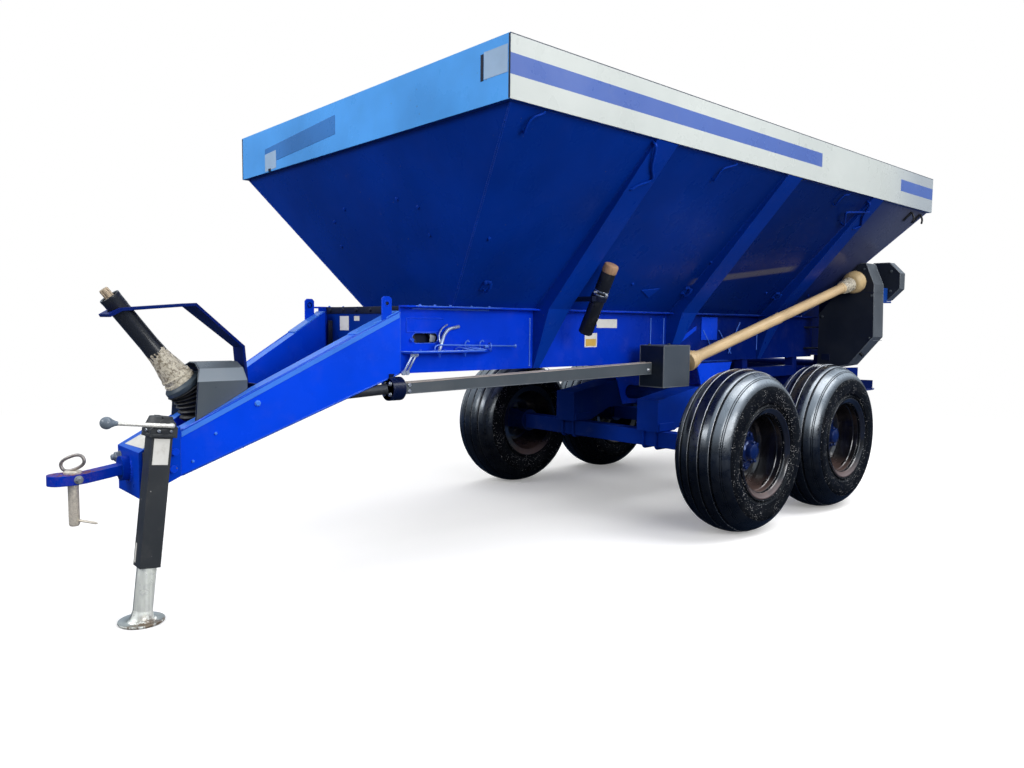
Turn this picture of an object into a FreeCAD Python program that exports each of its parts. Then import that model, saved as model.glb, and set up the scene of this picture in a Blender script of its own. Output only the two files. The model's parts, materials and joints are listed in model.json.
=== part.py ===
"""Towed lime spreader on a tandem axle, parked on its drawbar jack.

Millimetres. +X is the machine's left side, -Y is forwards (the drawbar end), +Z is up.
The origin is on the ground, below the middle of the overall box.
"""
import FreeCAD, Part
import os
from math import atan2, cos, degrees, pi, radians, sin, sqrt, tan

V = FreeCAD.Vector
os.makedirs("parts", exist_ok=True)

# ---------------------------------------------------------------- driving dimensions
SEAT = 0.3               # gap between a piece and the one it is bolted or seated on
SHEET = 4.0              # folded sheet of the hopper
PLATE = 8.0              # welded plate

# hopper
RIM_WIDTH = 2170.0
RIM_LENGTH = 3778.0
RIM_FRONT_Y = -1470.0
RIM_TOP_Z = 2070.0
RIM_HEIGHT = 219.0
RIM_LIP = 40.0           # top flange, folded inwards
RIM_LEDGE = 25.0         # band stands this far outside the sloping sheet
FLOOR_HALF_WIDTH = 364.0 # half width of the hopper's bottom opening
FLOOR_END_INSET = 322.0  # the end walls lean in by this much
HOPPER_FLOOR_Z = 1160.0

# side ribs
RIB_CENTRES_Y = (-573.0, 500.0, 1500.0)
RIB_WIDTH = 142.0
RIB_FOOT_WIDTH = 40.0
RIB_SHOULDER = 96.0      # how far the rib stands out at the chassis top
RIB_HEAD_INSET = 6.0

# chassis
RAIL_WEB_X = 350.0       # outer face of the web
RAIL_FLANGE_OUT = 50.0
RAIL_FLANGE_IN = 60.0
RAIL_BOTTOM_Z = 872.0
RAIL_FRONT_Y = -1420.0
RAIL_REAR_Y = 2180.0
CROSS_Y = (-1370.0, -560.0, 190.0, 1480.0, 2010.0)
CROSS_HEIGHT = 70.0
CROSS_DEPTH = 60.0

# drawbar
BEAM_FRONT_Y = -2250.0
BEAM_FRONT_X = 125.0     # outer face at the nose
BEAM_WIDTH = 74.0
BEAM_OVERLAP = 4.0       # its rear end stands this far outside the rail's web
BEAM_FRONT_BOTTOM_Z = 503.0
BEAM_FRONT_TOP_Z = 674.0
BEAM_REAR_TOP_Z = 1135.0
NOSE_LENGTH = 150.0
NOSE_BOTTOM_Z = 436.0
NOSE_TOP_Z = 606.0
COLLAR_R = 46.0
COLLAR_LENGTH = 30.0
SHANK_R = 27.0
SHANK_DEPTH = 80.0
TONGUE_Z = 535.0         # middle of the tongue at its collar
TONGUE_DROP = 18.0       # the eye lies this much lower
TONGUE_THICK = 36.0
TONGUE_WIDTH = 64.0
EYE_WIDTH = 92.0         # across the rounded end of the tongue
TONGUE_TIP_Y = -2670.0
EYE_FLAT = 40.0          # level part of the tongue behind the pin
PIN_Y = -2586.0
PIN_R = 18.0             # free end, below the tongue
PIN_SHANK_R = 19.5       # inside the tongue's eye
PIN_FIT = 0.5            # radial clearance of the pin in the eye
PIN_BOTTOM_Z = 344.0
PIN_CAP_THICK = 10.0
PIN_CAP_R = 30.0
PIN_RING = (38.0, 24.0)  # half length and half height of the lifting ring
PIN_RING_BAR_R = 5.0

# jack
JACK_X = 184.0
JACK_FOOT_Y = -2422.0
JACK_TILT = 6.5          # degrees, foot forwards
JACK_TUBE = 72.0
JACK_TUBE_LOW = 203.0    # along the jack's axis, from the ground
JACK_TUBE_TOP = 673.0
JACK_LEG_R = 33.5
JACK_LEG_FIT = 0.5
JACK_FOOT_R = 79.0
JACK_FOOT_THICK = 8.0
JACK_HEAD_HEIGHT = 74.0
JACK_HEAD_SIDE = 94.0
JACK_MOUNT_LOW_Z = 490.0
JACK_MOUNT = 24.0         # half length of the block that holds the tube
JACK_LEG_INSIDE = 235.0  # the leg reaches this far into its tube
CRANK_HUB_ALONG = 718.0
CRANK_BACK = 22.0         # its hub stands this far behind the jack's axis
CRANK_LENGTH = 218.0
CRANK_RISE = 28.0
CRANK_BALL_R = 24.0

# power input and its parked shaft
INPUT_Z = 700.0
HOOD_FRONT_Y = -2210.0
HOOD_LENGTH = 220.0
HOOD_RAKE = (8.0, 26.0, 56.0)    # setback of its open front: at its foot, its shoulder and its top
HOOD_HALF_WIDTH = 130.0
HOOD_SHOULDER_Z = 855.0
HOOD_CROWN = (90.0, 903.0)   # half width and height of the upper bend
HOOD_TOP = (30.0, 925.0)     # half width and height of the flat top
HOOD_LOW_Z = 640.0
PTO_ELEVATION = 52.4     # degrees above the horizontal
PTO_BEND_Y = -2201.0
PTO_BEND_Z = 849.0
PTO_CONE_LENGTH = 136.0
PTO_CONE_R = 61.0
PTO_TUBE_LENGTH = 267.0
PTO_TUBE_R = 36.0
PTO_LIP = 5.0
PTO_STUB_LENGTH = 36.0
PTO_STUB_R = 17.5
BELLOWS_COLLAR_R = 74.0
BELLOWS_COLLAR_LENGTH = 22.0
BELLOWS_FOOT_R = 52.0
BELLOWS_RINGS = 5
BELLOWS_STEP = 7.0       # each ring overhangs the next by this much
ARM_THICK = 12.0
ARM_Y = (-2470.0, -2428.0, -2162.0, -1962.0, -1946.0)   # stations along the bent support arm
ARM_Z = (1106.0, 1130.0, 1154.0, 987.0, 800.0)
ARM_HALF = (60.0, 75.0, 75.0, 47.5, 47.5)
ARM_FOOT_HEIGHT = 38.0
GEARBOX_HALF = (62.0, 66.0)  # of the input gearbox, across and along
GEARBOX_LOW_Z = 575.0
GEARBOX_TOP_Z = 765.0
GEARBOX_BEHIND = 205.0    # its middle, behind the front of the drawbar beams
GEARBOX_BAR_Z = 620.0

# side drive line
SIDE_SHAFT_INSET = 15.0   # its front end lies this far inside the rail's web
SIDE_SHAFT_AHEAD = 20.0   # the bearing's middle, ahead of the rails
SIDE_SHAFT_BELOW = 64.0   # below the rails, at the bearing
SIDE_SHAFT_OUT = 150.0    # outside the rail's web, at the joint guard
SIDE_SHAFT_SINK = 15.0    # below the rails, at the joint guard
SIDE_GUARD_FRONT_H = 46.0
SIDE_GUARD_REAR_H = 62.0
SIDE_GUARD_W = 46.0
BEARING_R = 50.0
BEARING_DEPTH = 62.0
CROSS_SHAFT_OUT = 54.0
CROSS_SHAFT_BEHIND = 40.0 # its front end, behind the gearbox's middle
CROSS_SHAFT_BELOW = 20.0  # and below the gearbox's top
CROSS_SHAFT_R = 22.0
CROSS_SHAFT_ROOM = 5.0    # gap round the shaft where it runs through the drawbar beam
JOINT_OUT = 90.0          # joint guard, outside the rail's web
JOINT_WIDTH = 160.0
JOINT_FRONT_Y = 76.0
JOINT_LENGTH = 234.0
JOINT_BELOW = 116.0
JOINT_HEIGHT = 224.0
CARDAN_OUT = 210.0        # lower end, outside the rail's web
CARDAN_GAP = 20.0         # ends of the inclined guard, off the joint guard and the case
CARDAN_RISE = 2.0         # lower end, above the rails' underside
CARDAN_REAR_Z = 1386.0
CARDAN_CLEAR = 108.0      # upper end, outside the hopper's sloping side
CARDAN_TUBE_R = 32.0
CARDAN_BELL_R = 62.0
CARDAN_BELL_LENGTH = 110.0
CARDAN_STUB_R = 20.0
CASE_FRONT_Y = 2040.0
CASE_DEPTH = 150.0
CASE_LOW_OUT = (120.0, 340.0)         # lower outer corners, outside the rail's web
CASE_OUTER_GAP = (269.4, 259.4, 56.4) # other outer corners, outside the hopper's sloping side
CASE_OUTER_Z = (783.0, 828.0, 1024.0, 1378.0, 1520.0)
CASE_INNER_GAP = (18.0, 65.0, 86.0)   # inner corners, outside the hopper's sloping side
CASE_INNER_Z = (1520.0, 1330.0, 1180.0)
CASE_BRACKET_Z = (930.0, 1080.0)
CASE_BRACKET_DEPTH = 80.0
CASE_BRACKET_THICK = 10.0
OCTAGON_OUT = 184.2       # outside the hopper's sloping side
OCTAGON_Z = 1405.0
OCTAGON_R = 138.0
OCTAGON_DEPTH = 80.0
OCTAGON_STAND_OFF = 70.0
BOSS_R = 40.0
BOSS_OFFSET = (-40.0, -60.0)

# conveyor
BELT_HALF_WIDTH = 318.0
BELT_THICK = 12.0
BELT_TOP_Z = 1142.0
DRUM_R = 80.0
DRUM_FRONT_Y = -1245.0
DRUM_REAR_Y = 2105.0

# rear gate
GATE_HALF_WIDTH = 290.0
GATE_OPENING = 190.0     # height of the outlet along the rear wall
GATE_HEIGHT = 330.0
GATE_THICK = 6.0
GATE_TRAVEL = 180.0

# spreading discs
DISC_X = 400.0
DISC_Y = 2350.0
DISC_Z = 640.0
DISC_R = 320.0
DISC_THICK = 6.0
VANE_HEIGHT = 62.0
VANES = 6
DISC_HUB_R = 60.0
DISC_HUB_HEIGHT = 26.0
VANE_ROOT = 55.0
VANE_THICK = 6.0
VANE_START = 15.0        # degrees
GEARBOX = 150.0
GEARBOX_TUBE_R = 38.0
DISC_SPINDLE_R = 20.0
SUBFRAME_X = 300.0
SUBFRAME_WIDTH = 60.0
SUBFRAME_Y = (1290.0, 2010.0)
SUBFRAME_Z = (742.0, 812.0)
SUBFRAME_POST = 60.0
ARM_TOP_Z = 960.0
SHIELD_HALF_WIDTH = 700.0
SHIELD_LOW_Z = 640.0
SHIELD_THICK = 4.0
WING_OUT = 34.0
WING_LENGTH = 90.0

# running gear
TYRE_R = 432.0
TYRE_WIDTH = 340.0
BEAD_R = 200.0
RIM_FLANGE_R = 236.0
RIM_HALF_WIDTH = 158.0
TRACK = 1768.0
AXLE_FRONT_Y = 380.0
WHEELBASE = 920.0
AXLE_SQUARE = 90.0
HUB_R = 72.0
HUB_FIT = 0.05
TYRE_CROWN = 8.0          # drop of the tread's edges
TYRE_SHOULDER = 38.0      # depths of the shoulder, the bulge and the wall, below the tread
TYRE_BULGE = 100.0
TYRE_WALL = 160.0
BARREL_LIP = 8.0
BARREL_SLOPE = 13.0
BARREL_WALL = 6.0
DISH_X = 4.0              # back of the wheel's plate, inboard of the wheel's middle
DISH_THICK = 10.0
HUB_BACK = 150.0
HUB_FLANGE_R = 112.0
HUB_FLANGE = 16.0         # thickness of the flange on the wheel's plate
HUB_CAP = 92.0            # end of the cap, outboard of the wheel's middle
HUB_CAP_R = 46.5
SPINDLE_R = 32.0
SPINDLE_END = 90.0
SPINDLE_ROOM = 2.0
AXLE_GAP = 8.0
WALKER_END = 80.0         # half length of a walking beam's seat on its axle
WALKER_ARCH = 70.0        # rise of its underside between the wheels
WALKER_BELLY = 200.0      # half lengths of that rise and of its level top
WALKER_CROWN = 160.0
WALKER_SLOPE = 60.0
PIVOT_END = 30.0          # the pivot shaft sticks out this far
HANGER_GAP = 2.0
HANGER_TOP = 190.0        # half lengths of a hanger plate, at its top and foot
HANGER_FOOT = 70.0
HANGER_BELOW = 80.0
WALKER_X = (252.0, 402.0)
WALKER_TOP_Z = 720.0
PIVOT_R = 45.0
PIVOT_Z = 640.0

# small fittings
SLOT_Y = -1289.0         # slotted hole in each rail's web
SLOT_Z = 1022.0
SLOT_LENGTH = 138.0
SLOT_HEIGHT = 45.0
SHELF_Y = (-1418.0, -905.0)
SHELF_Z = 958.0
SHELF_WIDTH = 56.0
SHELF_THICK = 8.0
SHELF_TAPER = 90.0
CANISTER_R = 36.0
CANISTER_OUT = 157.0      # foot, outside the rail's web
CANISTER_BELOW = 115.0    # foot, below the hopper's floor
CANISTER_RISE = 328.0
CANISTER_CLEAR = 93.0     # top, outside the hopper's sloping side
CANISTER_BEHIND = 62.0    # behind the rib that carries it
CLAMP_SHARE = 0.5        # how far up the canister its clamp sits
CLAMP_THICK = 4.0
CLAMP_HEIGHT = 24.0
CLAMP_HOLD = 40.0        # overlap of the clamp's arm on the rib's cheek

# ---------------------------------------------------------------- derived sizes
RIM_BOTTOM_Z = RIM_TOP_Z - RIM_HEIGHT
RIM_REAR_Y = RIM_FRONT_Y + RIM_LENGTH
SHEET_TOP_X = RIM_WIDTH / 2 - RIM_LEDGE
SHEET_REAR_Y = RIM_REAR_Y - RIM_LEDGE
FLOOR_FRONT_Y = RIM_FRONT_Y + FLOOR_END_INSET
FLOOR_REAR_Y = RIM_REAR_Y - FLOOR_END_INSET
SLOPE_HEIGHT = RIM_BOTTOM_Z - HOPPER_FLOOR_Z
SIDE_LEAN = (SHEET_TOP_X - FLOOR_HALF_WIDTH) / SLOPE_HEIGHT
END_LEAN = (SHEET_REAR_Y - FLOOR_REAR_Y) / SLOPE_HEIGHT
AXLE_REAR_Y = AXLE_FRONT_Y + WHEELBASE
PIVOT_Y = (AXLE_FRONT_Y + AXLE_REAR_Y) / 2
WHEEL_X = TRACK / 2
GEARBOX_Z = RAIL_BOTTOM_Z + PLATE - GEARBOX / 2
GEARBOX_Y = BEAM_FRONT_Y + GEARBOX_BEHIND
SIDE_SHAFT_FRONT = V(RAIL_WEB_X - SIDE_SHAFT_INSET, RAIL_FRONT_Y - SIDE_SHAFT_AHEAD,
                     RAIL_BOTTOM_Z - SIDE_SHAFT_BELOW)
SIDE_SHAFT_REAR = V(RAIL_WEB_X + SIDE_SHAFT_OUT, JOINT_FRONT_Y, RAIL_BOTTOM_Z - SIDE_SHAFT_SINK)
CROSS_SHAFT_FRONT = V(CROSS_SHAFT_OUT, GEARBOX_Y + CROSS_SHAFT_BEHIND, GEARBOX_TOP_Z - CROSS_SHAFT_BELOW)


# ---------------------------------------------------------------- helpers
def box(x0, x1, y0, y1, z0, z1):
    return Part.makeBox(x1 - x0, y1 - y0, z1 - z0, V(x0, y0, z0))


def prism(points, direction):
    """A flat outline (list of vectors) pushed along a vector."""
    return Part.Face(Part.makePolygon(points + [points[0]])).extrude(direction)


def prism_x(points_yz, x0, x1):
    return prism([V(x0, y, z) for y, z in points_yz], V(x1 - x0, 0, 0))


def prism_y(points_xz, y0, y1):
    return prism([V(x, y0, z) for x, z in points_xz], V(0, y1 - y0, 0))


def prism_z(points_xy, z0, z1):
    return prism([V(x, y, z0) for x, y in points_xy], V(0, 0, z1 - z0))


def hexa(lower, upper):
    """A solid between two four-cornered faces, corners in matching order."""
    faces = [Part.Face(Part.makePolygon(ring + [ring[0]])) for ring in (lower, upper)]
    for i in range(4):
        j = (i + 1) % 4
        ring = [lower[i], lower[j], upper[j], upper[i], lower[i]]
        faces.append(Part.Face(Part.makePolygon(ring)))
    solid = Part.Solid(Part.Shell(faces))
    if solid.Volume < 0:
        solid.reverse()
    return solid


def rod(start, end, radius):
    along = end.sub(start)
    return Part.makeCylinder(radius, along.Length, start, along)


def cone(start, end, r0, r1):
    along = end.sub(start)
    return Part.makeCone(r0, r1, along.Length, start, along)


def revolve_x(profile_xr, x_shift, axis_y, axis_z):
    """Turn an outline of (x, radius) points about a line along X."""
    points = [V(x + x_shift, axis_y, axis_z + r) for x, r in profile_xr]
    face = Part.Face(Part.makePolygon(points + [points[0]]))
    return face.revolve(V(0, axis_y, axis_z), V(1, 0, 0), 360)


def mirror_x(shape):
    return shape.mirror(V(0, 0, 0), V(1, 0, 0))


def both_sides(shape):
    return [shape, mirror_x(shape)]


def export(name, shapes):
    if not isinstance(shapes, list):
        shapes = [shapes]
    solids = [solid for shape in shapes for solid in shape.Solids]
    shape = solids[0] if len(solids) == 1 else Part.makeCompound(solids)
    shape.exportStep("parts/%s.step" % name)


def side_x(z):
    """Outer face of the sloping side sheet."""
    return FLOOR_HALF_WIDTH + (z - HOPPER_FLOOR_Z) * SIDE_LEAN


def rib_outer_x(z):
    """Outer face of a side rib above the chassis top."""
    foot_x = FLOOR_HALF_WIDTH + RIB_SHOULDER
    head_x = RIM_WIDTH / 2 - RIB_HEAD_INSET
    return foot_x + (head_x - foot_x) * (z - HOPPER_FLOOR_Z) / (RIM_BOTTOM_Z - HOPPER_FLOOR_Z)


def rear_y(z):
    """Outer face of the sloping rear sheet."""
    return FLOOR_REAR_Y + (z - HOPPER_FLOOR_Z) * END_LEAN


# ---------------------------------------------------------------- hopper
def sheet_corners(z, inwards):
    """Plan corners of the sloping walls at height z: front left, front right, rear right, rear left."""
    dx = inwards * sqrt(1 + SIDE_LEAN ** 2)
    dy = inwards * sqrt(1 + END_LEAN ** 2)
    x = side_x(z) - dx
    front = FLOOR_FRONT_Y - (z - HOPPER_FLOOR_Z) * END_LEAN + dy
    rear = rear_y(z) - dy
    return [V(x, front, z), V(-x, front, z), V(-x, rear, z), V(x, rear, z)]


def hopper_walls():
    """Four mitred walls, in the order front, right, rear, left."""
    low_out = sheet_corners(HOPPER_FLOOR_Z, 0)
    low_in = sheet_corners(HOPPER_FLOOR_Z, SHEET)
    top_out = sheet_corners(RIM_BOTTOM_Z, 0)
    top_in = sheet_corners(RIM_BOTTOM_Z, SHEET)
    walls = []
    for i in range(4):
        j = (i + 1) % 4
        outer = [low_out[i], low_out[j], top_out[j], top_out[i]]
        inner = [low_in[i], low_in[j], top_in[j], top_in[i]]
        walls.append(hexa(outer, inner))
    return walls


def gate_frame():
    """Point on the rear wall's outer face at the floor, and unit vectors up the wall and out of it."""
    up = V(0, END_LEAN, 1).normalize()
    out = V(0, 1, -END_LEAN).normalize()
    return V(0, FLOOR_REAR_Y, HOPPER_FLOOR_Z), up, out


def on_gate(x, along, off):
    origin, up, out = gate_frame()
    return origin.add(V(x, 0, 0)).add(V(up).multiply(along)).add(V(out).multiply(off))


def gate_block(x0, x1, low, high, off0, off1):
    """A block lying on the rear wall, from low to high up the wall and off0 to off1 out of it."""
    lower = [on_gate(x0, low, off0), on_gate(x1, low, off0), on_gate(x1, low, off1), on_gate(x0, low, off1)]
    upper = [on_gate(x0, high, off0), on_gate(x1, high, off0),
             on_gate(x1, high, off1), on_gate(x0, high, off1)]
    return hexa(lower, upper)


def rim_ring():
    half = RIM_WIDTH / 2
    outer = box(-half, half, RIM_FRONT_Y, RIM_REAR_Y, RIM_BOTTOM_Z, RIM_TOP_Z)
    inside = box(-half + SHEET, half - SHEET, RIM_FRONT_Y + SHEET, RIM_REAR_Y - SHEET,
                 RIM_BOTTOM_Z + SHEET, RIM_TOP_Z - SHEET)
    mouth = box(-half + RIM_LIP, half - RIM_LIP, RIM_FRONT_Y + RIM_LIP, RIM_REAR_Y - RIM_LIP,
                RIM_TOP_Z - 2 * SHEET, RIM_TOP_Z + SHEET)
    ledge = RIM_LEDGE + SHEET * sqrt(1 + SIDE_LEAN ** 2)
    throat = box(-half + ledge, half - ledge, RIM_FRONT_Y + ledge, RIM_REAR_Y - ledge,
                 RIM_BOTTOM_Z - SHEET, RIM_BOTTOM_Z + 2 * SHEET)
    return outer.cut([inside, mouth, throat])


def hopper():
    front, right, rear, left = hopper_walls()
    outlet = gate_block(-GATE_HALF_WIDTH, GATE_HALF_WIDTH, -30, GATE_OPENING, -40, 40)
    rear = rear.cut(outlet)
    guides = []
    for sign in (-1, 1):
        inner = sign * (GATE_HALF_WIDTH + 24)
        outer = sign * (GATE_HALF_WIDTH + 24 + 30)
        lip = sign * (GATE_HALF_WIDTH + 4)
        top = GATE_OPENING + GATE_TRAVEL + 40
        web = gate_block(min(inner, outer), max(inner, outer), 30, top, 0, 2 + GATE_THICK)
        cover = gate_block(min(lip, outer), max(lip, outer), 30, top, 2 + GATE_THICK, 6 + GATE_THICK)
        guides.append(web.fuse(cover).removeSplitter())
    export("hopper_front_panel", front)
    export("hopper_right_panel", right)
    export("hopper_left_panel", left)
    export("hopper_rear_panel", rear)
    export("gate_guides", guides)
    gate = gate_block(-GATE_HALF_WIDTH - 20, GATE_HALF_WIDTH + 20, 6, 6 + GATE_HEIGHT, 1, 1 + GATE_THICK)
    handle = gate_block(-110, 110, GATE_HEIGHT - 60, GATE_HEIGHT - 48, 1 + GATE_THICK, 61)
    export("rear_gate", gate.fuse(handle).removeSplitter())

    ring = rim_ring()
    half = RIM_WIDTH / 2
    mitre = 2 * RIM_LIP
    side = prism_z([(half, RIM_FRONT_Y), (half, RIM_REAR_Y), (half - mitre, RIM_REAR_Y - mitre),
                    (half - mitre, RIM_FRONT_Y + mitre)], RIM_BOTTOM_Z, RIM_TOP_Z)
    left_band = ring.common(side)
    export("hopper_rim_sides", both_sides(left_band))
    end = prism_z([(-half, RIM_FRONT_Y), (half, RIM_FRONT_Y), (half - mitre, RIM_FRONT_Y + mitre),
                   (-half + mitre, RIM_FRONT_Y + mitre)], RIM_BOTTOM_Z, RIM_TOP_Z)
    far_end = end.mirror(V(0, (RIM_FRONT_Y + RIM_REAR_Y) / 2, 0), V(0, 1, 0))
    export("hopper_rim_ends", [ring.common(end), ring.common(far_end)])


# ---------------------------------------------------------------- side ribs
def rib(centre_y):
    y0 = centre_y - RIB_WIDTH / 2
    y1 = centre_y + RIB_WIDTH / 2
    head_z = RIM_BOTTOM_Z - SEAT
    shoulder = (FLOOR_HALF_WIDTH + RIB_SHOULDER, HOPPER_FLOOR_Z)
    head = (RIM_WIDTH / 2 - RIB_HEAD_INSET, head_z)
    foot_z = RAIL_BOTTOM_Z
    web_x = RAIL_WEB_X + SEAT
    foot = (web_x + SHEET * 1.5, foot_z)
    skin_x = side_x(head_z) + SEAT
    floor_x = side_x(HOPPER_FLOOR_Z) + SEAT
    seat_z = HOPPER_FLOOR_Z - PLATE - SEAT
    outline = [(skin_x, head_z), head, shoulder, foot, (web_x, foot_z), (web_x, seat_z),
               (floor_x, seat_z), (floor_x, HOPPER_FLOOR_Z)]
    cheek_front = prism_y(outline, y0, y0 + SHEET)
    cheek_rear = prism_y(outline, y1 - SHEET, y1)
    inset = SHEET * 1.5
    strip = prism_y([head, shoulder, foot, (foot[0] - inset + 1, foot_z),
                     (shoulder[0] - inset, HOPPER_FLOOR_Z), (head[0] - inset, head_z)], y0, y1)
    shape = cheek_front.fuse([cheek_rear, strip])
    taper = prism_x([(y1 + 1, HOPPER_FLOOR_Z), (y1, HOPPER_FLOOR_Z), (y0 + RIB_FOOT_WIDTH, foot_z),
                     (y0 + RIB_FOOT_WIDTH, foot_z - 5), (y1 + 1, foot_z - 5)], 0, RIM_WIDTH / 2)
    flange = box(0, RAIL_WEB_X + RAIL_FLANGE_OUT + SEAT, y0 - 1, y1 + 1,
                 HOPPER_FLOOR_Z - PLATE - SEAT, HOPPER_FLOOR_Z + SEAT)
    return shape.cut([taper, flange]).removeSplitter()


def ribs():
    shapes = []
    for y in RIB_CENTRES_Y:
        shapes += both_sides(rib(y))
    export("side_ribs", shapes)


# ---------------------------------------------------------------- chassis
def rail_slot():
    """A slotted hole through the rail's web, near the drawbar."""
    r = SLOT_HEIGHT / 2
    half = SLOT_LENGTH / 2 - r
    x0 = RAIL_WEB_X - 2 * PLATE
    length = 4 * PLATE
    ends = []
    for y in (SLOT_Y - half, SLOT_Y + half):
        ends.append(Part.makeCylinder(r, length, V(x0, y, SLOT_Z), V(1, 0, 0)))
    middle = box(x0, x0 + length, SLOT_Y - half, SLOT_Y + half, SLOT_Z - r, SLOT_Z + r)
    return middle.fuse(ends)


def chassis():
    top = HOPPER_FLOOR_Z
    web = RAIL_WEB_X - PLATE
    outline = [(web, RAIL_BOTTOM_Z + PLATE), (web, top), (RAIL_WEB_X + RAIL_FLANGE_OUT, top),
               (RAIL_WEB_X + RAIL_FLANGE_OUT, top - PLATE), (RAIL_WEB_X, top - PLATE),
               (RAIL_WEB_X, RAIL_BOTTOM_Z), (RAIL_WEB_X - RAIL_FLANGE_IN, RAIL_BOTTOM_Z),
               (RAIL_WEB_X - RAIL_FLANGE_IN, RAIL_BOTTOM_Z + PLATE)]
    rail = prism_y(outline, RAIL_FRONT_Y, RAIL_REAR_Y).cut(rail_slot())
    export("chassis_rails", both_sides(rail))
    members = []
    for y in CROSS_Y[1:]:
        z0 = RAIL_BOTTOM_Z + PLATE
        members.append(box(-web, web, y - CROSS_DEPTH / 2, y + CROSS_DEPTH / 2, z0, z0 + CROSS_HEIGHT))
    y = CROSS_Y[0]
    members.append(box(-web, web, y - PLATE, y, RAIL_BOTTOM_Z + PLATE, top - 2 * PLATE))
    export("chassis_cross_members", members)


# ---------------------------------------------------------------- drawbar
def beam_top_z(y):
    share = (y - BEAM_FRONT_Y) / (RAIL_FRONT_Y - BEAM_FRONT_Y)
    return BEAM_FRONT_TOP_Z + share * (BEAM_REAR_TOP_Z - BEAM_FRONT_TOP_Z)


def beam_inner_x(y):
    """Inner face of a drawbar beam."""
    share = (y - BEAM_FRONT_Y) / (RAIL_FRONT_Y - BEAM_FRONT_Y)
    front = BEAM_FRONT_X - BEAM_WIDTH
    rear = RAIL_WEB_X + BEAM_OVERLAP - BEAM_WIDTH
    return front + share * (rear - front)


def drawbar_beam():
    y0 = BEAM_FRONT_Y
    y1 = RAIL_FRONT_Y
    f_out = BEAM_FRONT_X
    f_in = f_out - BEAM_WIDTH
    r_out = RAIL_WEB_X + BEAM_OVERLAP
    r_in = r_out - BEAM_WIDTH
    lower = [V(f_in, y0, BEAM_FRONT_BOTTOM_Z), V(f_out, y0, BEAM_FRONT_BOTTOM_Z),
             V(r_out, y1, RAIL_BOTTOM_Z), V(r_in, y1, RAIL_BOTTOM_Z)]
    upper = [V(f_in, y0, BEAM_FRONT_TOP_Z), V(f_out, y0, BEAM_FRONT_TOP_Z),
             V(r_out, y1, BEAM_REAR_TOP_Z), V(r_in, y1, BEAM_REAR_TOP_Z)]
    return hexa(lower, upper)


def cross_shaft_rear():
    """End of the cross shaft, at the front face of the side shaft's bearing."""
    return SIDE_SHAFT_FRONT.sub(V(0, BEARING_DEPTH / 2 + SEAT, 0))


def drawbar():
    left, right = both_sides(drawbar_beam())
    tunnel = rod(CROSS_SHAFT_FRONT, cross_shaft_rear(), CROSS_SHAFT_R + CROSS_SHAFT_ROOM)
    export("drawbar_beams", [left.cut(tunnel), right])
    front = BEAM_FRONT_Y - NOSE_LENGTH
    rise = (BEAM_REAR_TOP_Z - BEAM_FRONT_TOP_Z) / (RAIL_FRONT_Y - BEAM_FRONT_Y)
    nose = prism_x([(front, NOSE_BOTTOM_Z), (BEAM_FRONT_Y - SEAT, BEAM_FRONT_BOTTOM_Z),
                    (BEAM_FRONT_Y - SEAT, NOSE_TOP_Z + NOSE_LENGTH * rise), (front, NOSE_TOP_Z)],
                   -BEAM_FRONT_X, BEAM_FRONT_X)
    inside = front + SHANK_DEPTH
    bore = rod(V(0, front - 1, TONGUE_Z), V(0, inside + SEAT, TONGUE_Z), SHANK_R + SEAT)
    export("drawbar_nose", nose.cut(bore))
    collar = rod(V(0, front - COLLAR_LENGTH, TONGUE_Z), V(0, front - SEAT, TONGUE_Z), COLLAR_R)
    shank = rod(V(0, front - 10, TONGUE_Z), V(0, inside, TONGUE_Z), SHANK_R)
    half = TONGUE_WIDTH / 2
    root_y = front - COLLAR_LENGTH + 10
    eye_z = TONGUE_Z - TONGUE_DROP - TONGUE_THICK / 2
    root_z = TONGUE_Z - TONGUE_THICK / 2
    low = [(PIN_Y, eye_z), (PIN_Y + EYE_FLAT, eye_z), (root_y, root_z)]
    bar = prism_x(low + [(y, z + TONGUE_THICK) for y, z in reversed(low)], -half, half)
    eye_r = EYE_WIDTH / 2
    nose_y = TONGUE_TIP_Y + eye_r
    tip = Part.makeCylinder(eye_r, TONGUE_THICK, V(0, nose_y, eye_z))
    shoulder_y = PIN_Y + EYE_FLAT
    sides = [(half, shoulder_y), (eye_r, PIN_Y), (eye_r, nose_y)]
    cheek = prism_z(sides + [(-x, y) for x, y in reversed(sides)], eye_z, eye_z + TONGUE_THICK)
    eye = Part.makeCylinder(PIN_SHANK_R + PIN_FIT, 4 * TONGUE_THICK, V(0, PIN_Y, eye_z - TONGUE_THICK))
    export("hitch_tongue", bar.fuse([tip, cheek, collar, shank]).cut(eye).removeSplitter())
    export("hitch_pin", hitch_pin(eye_z))


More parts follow.
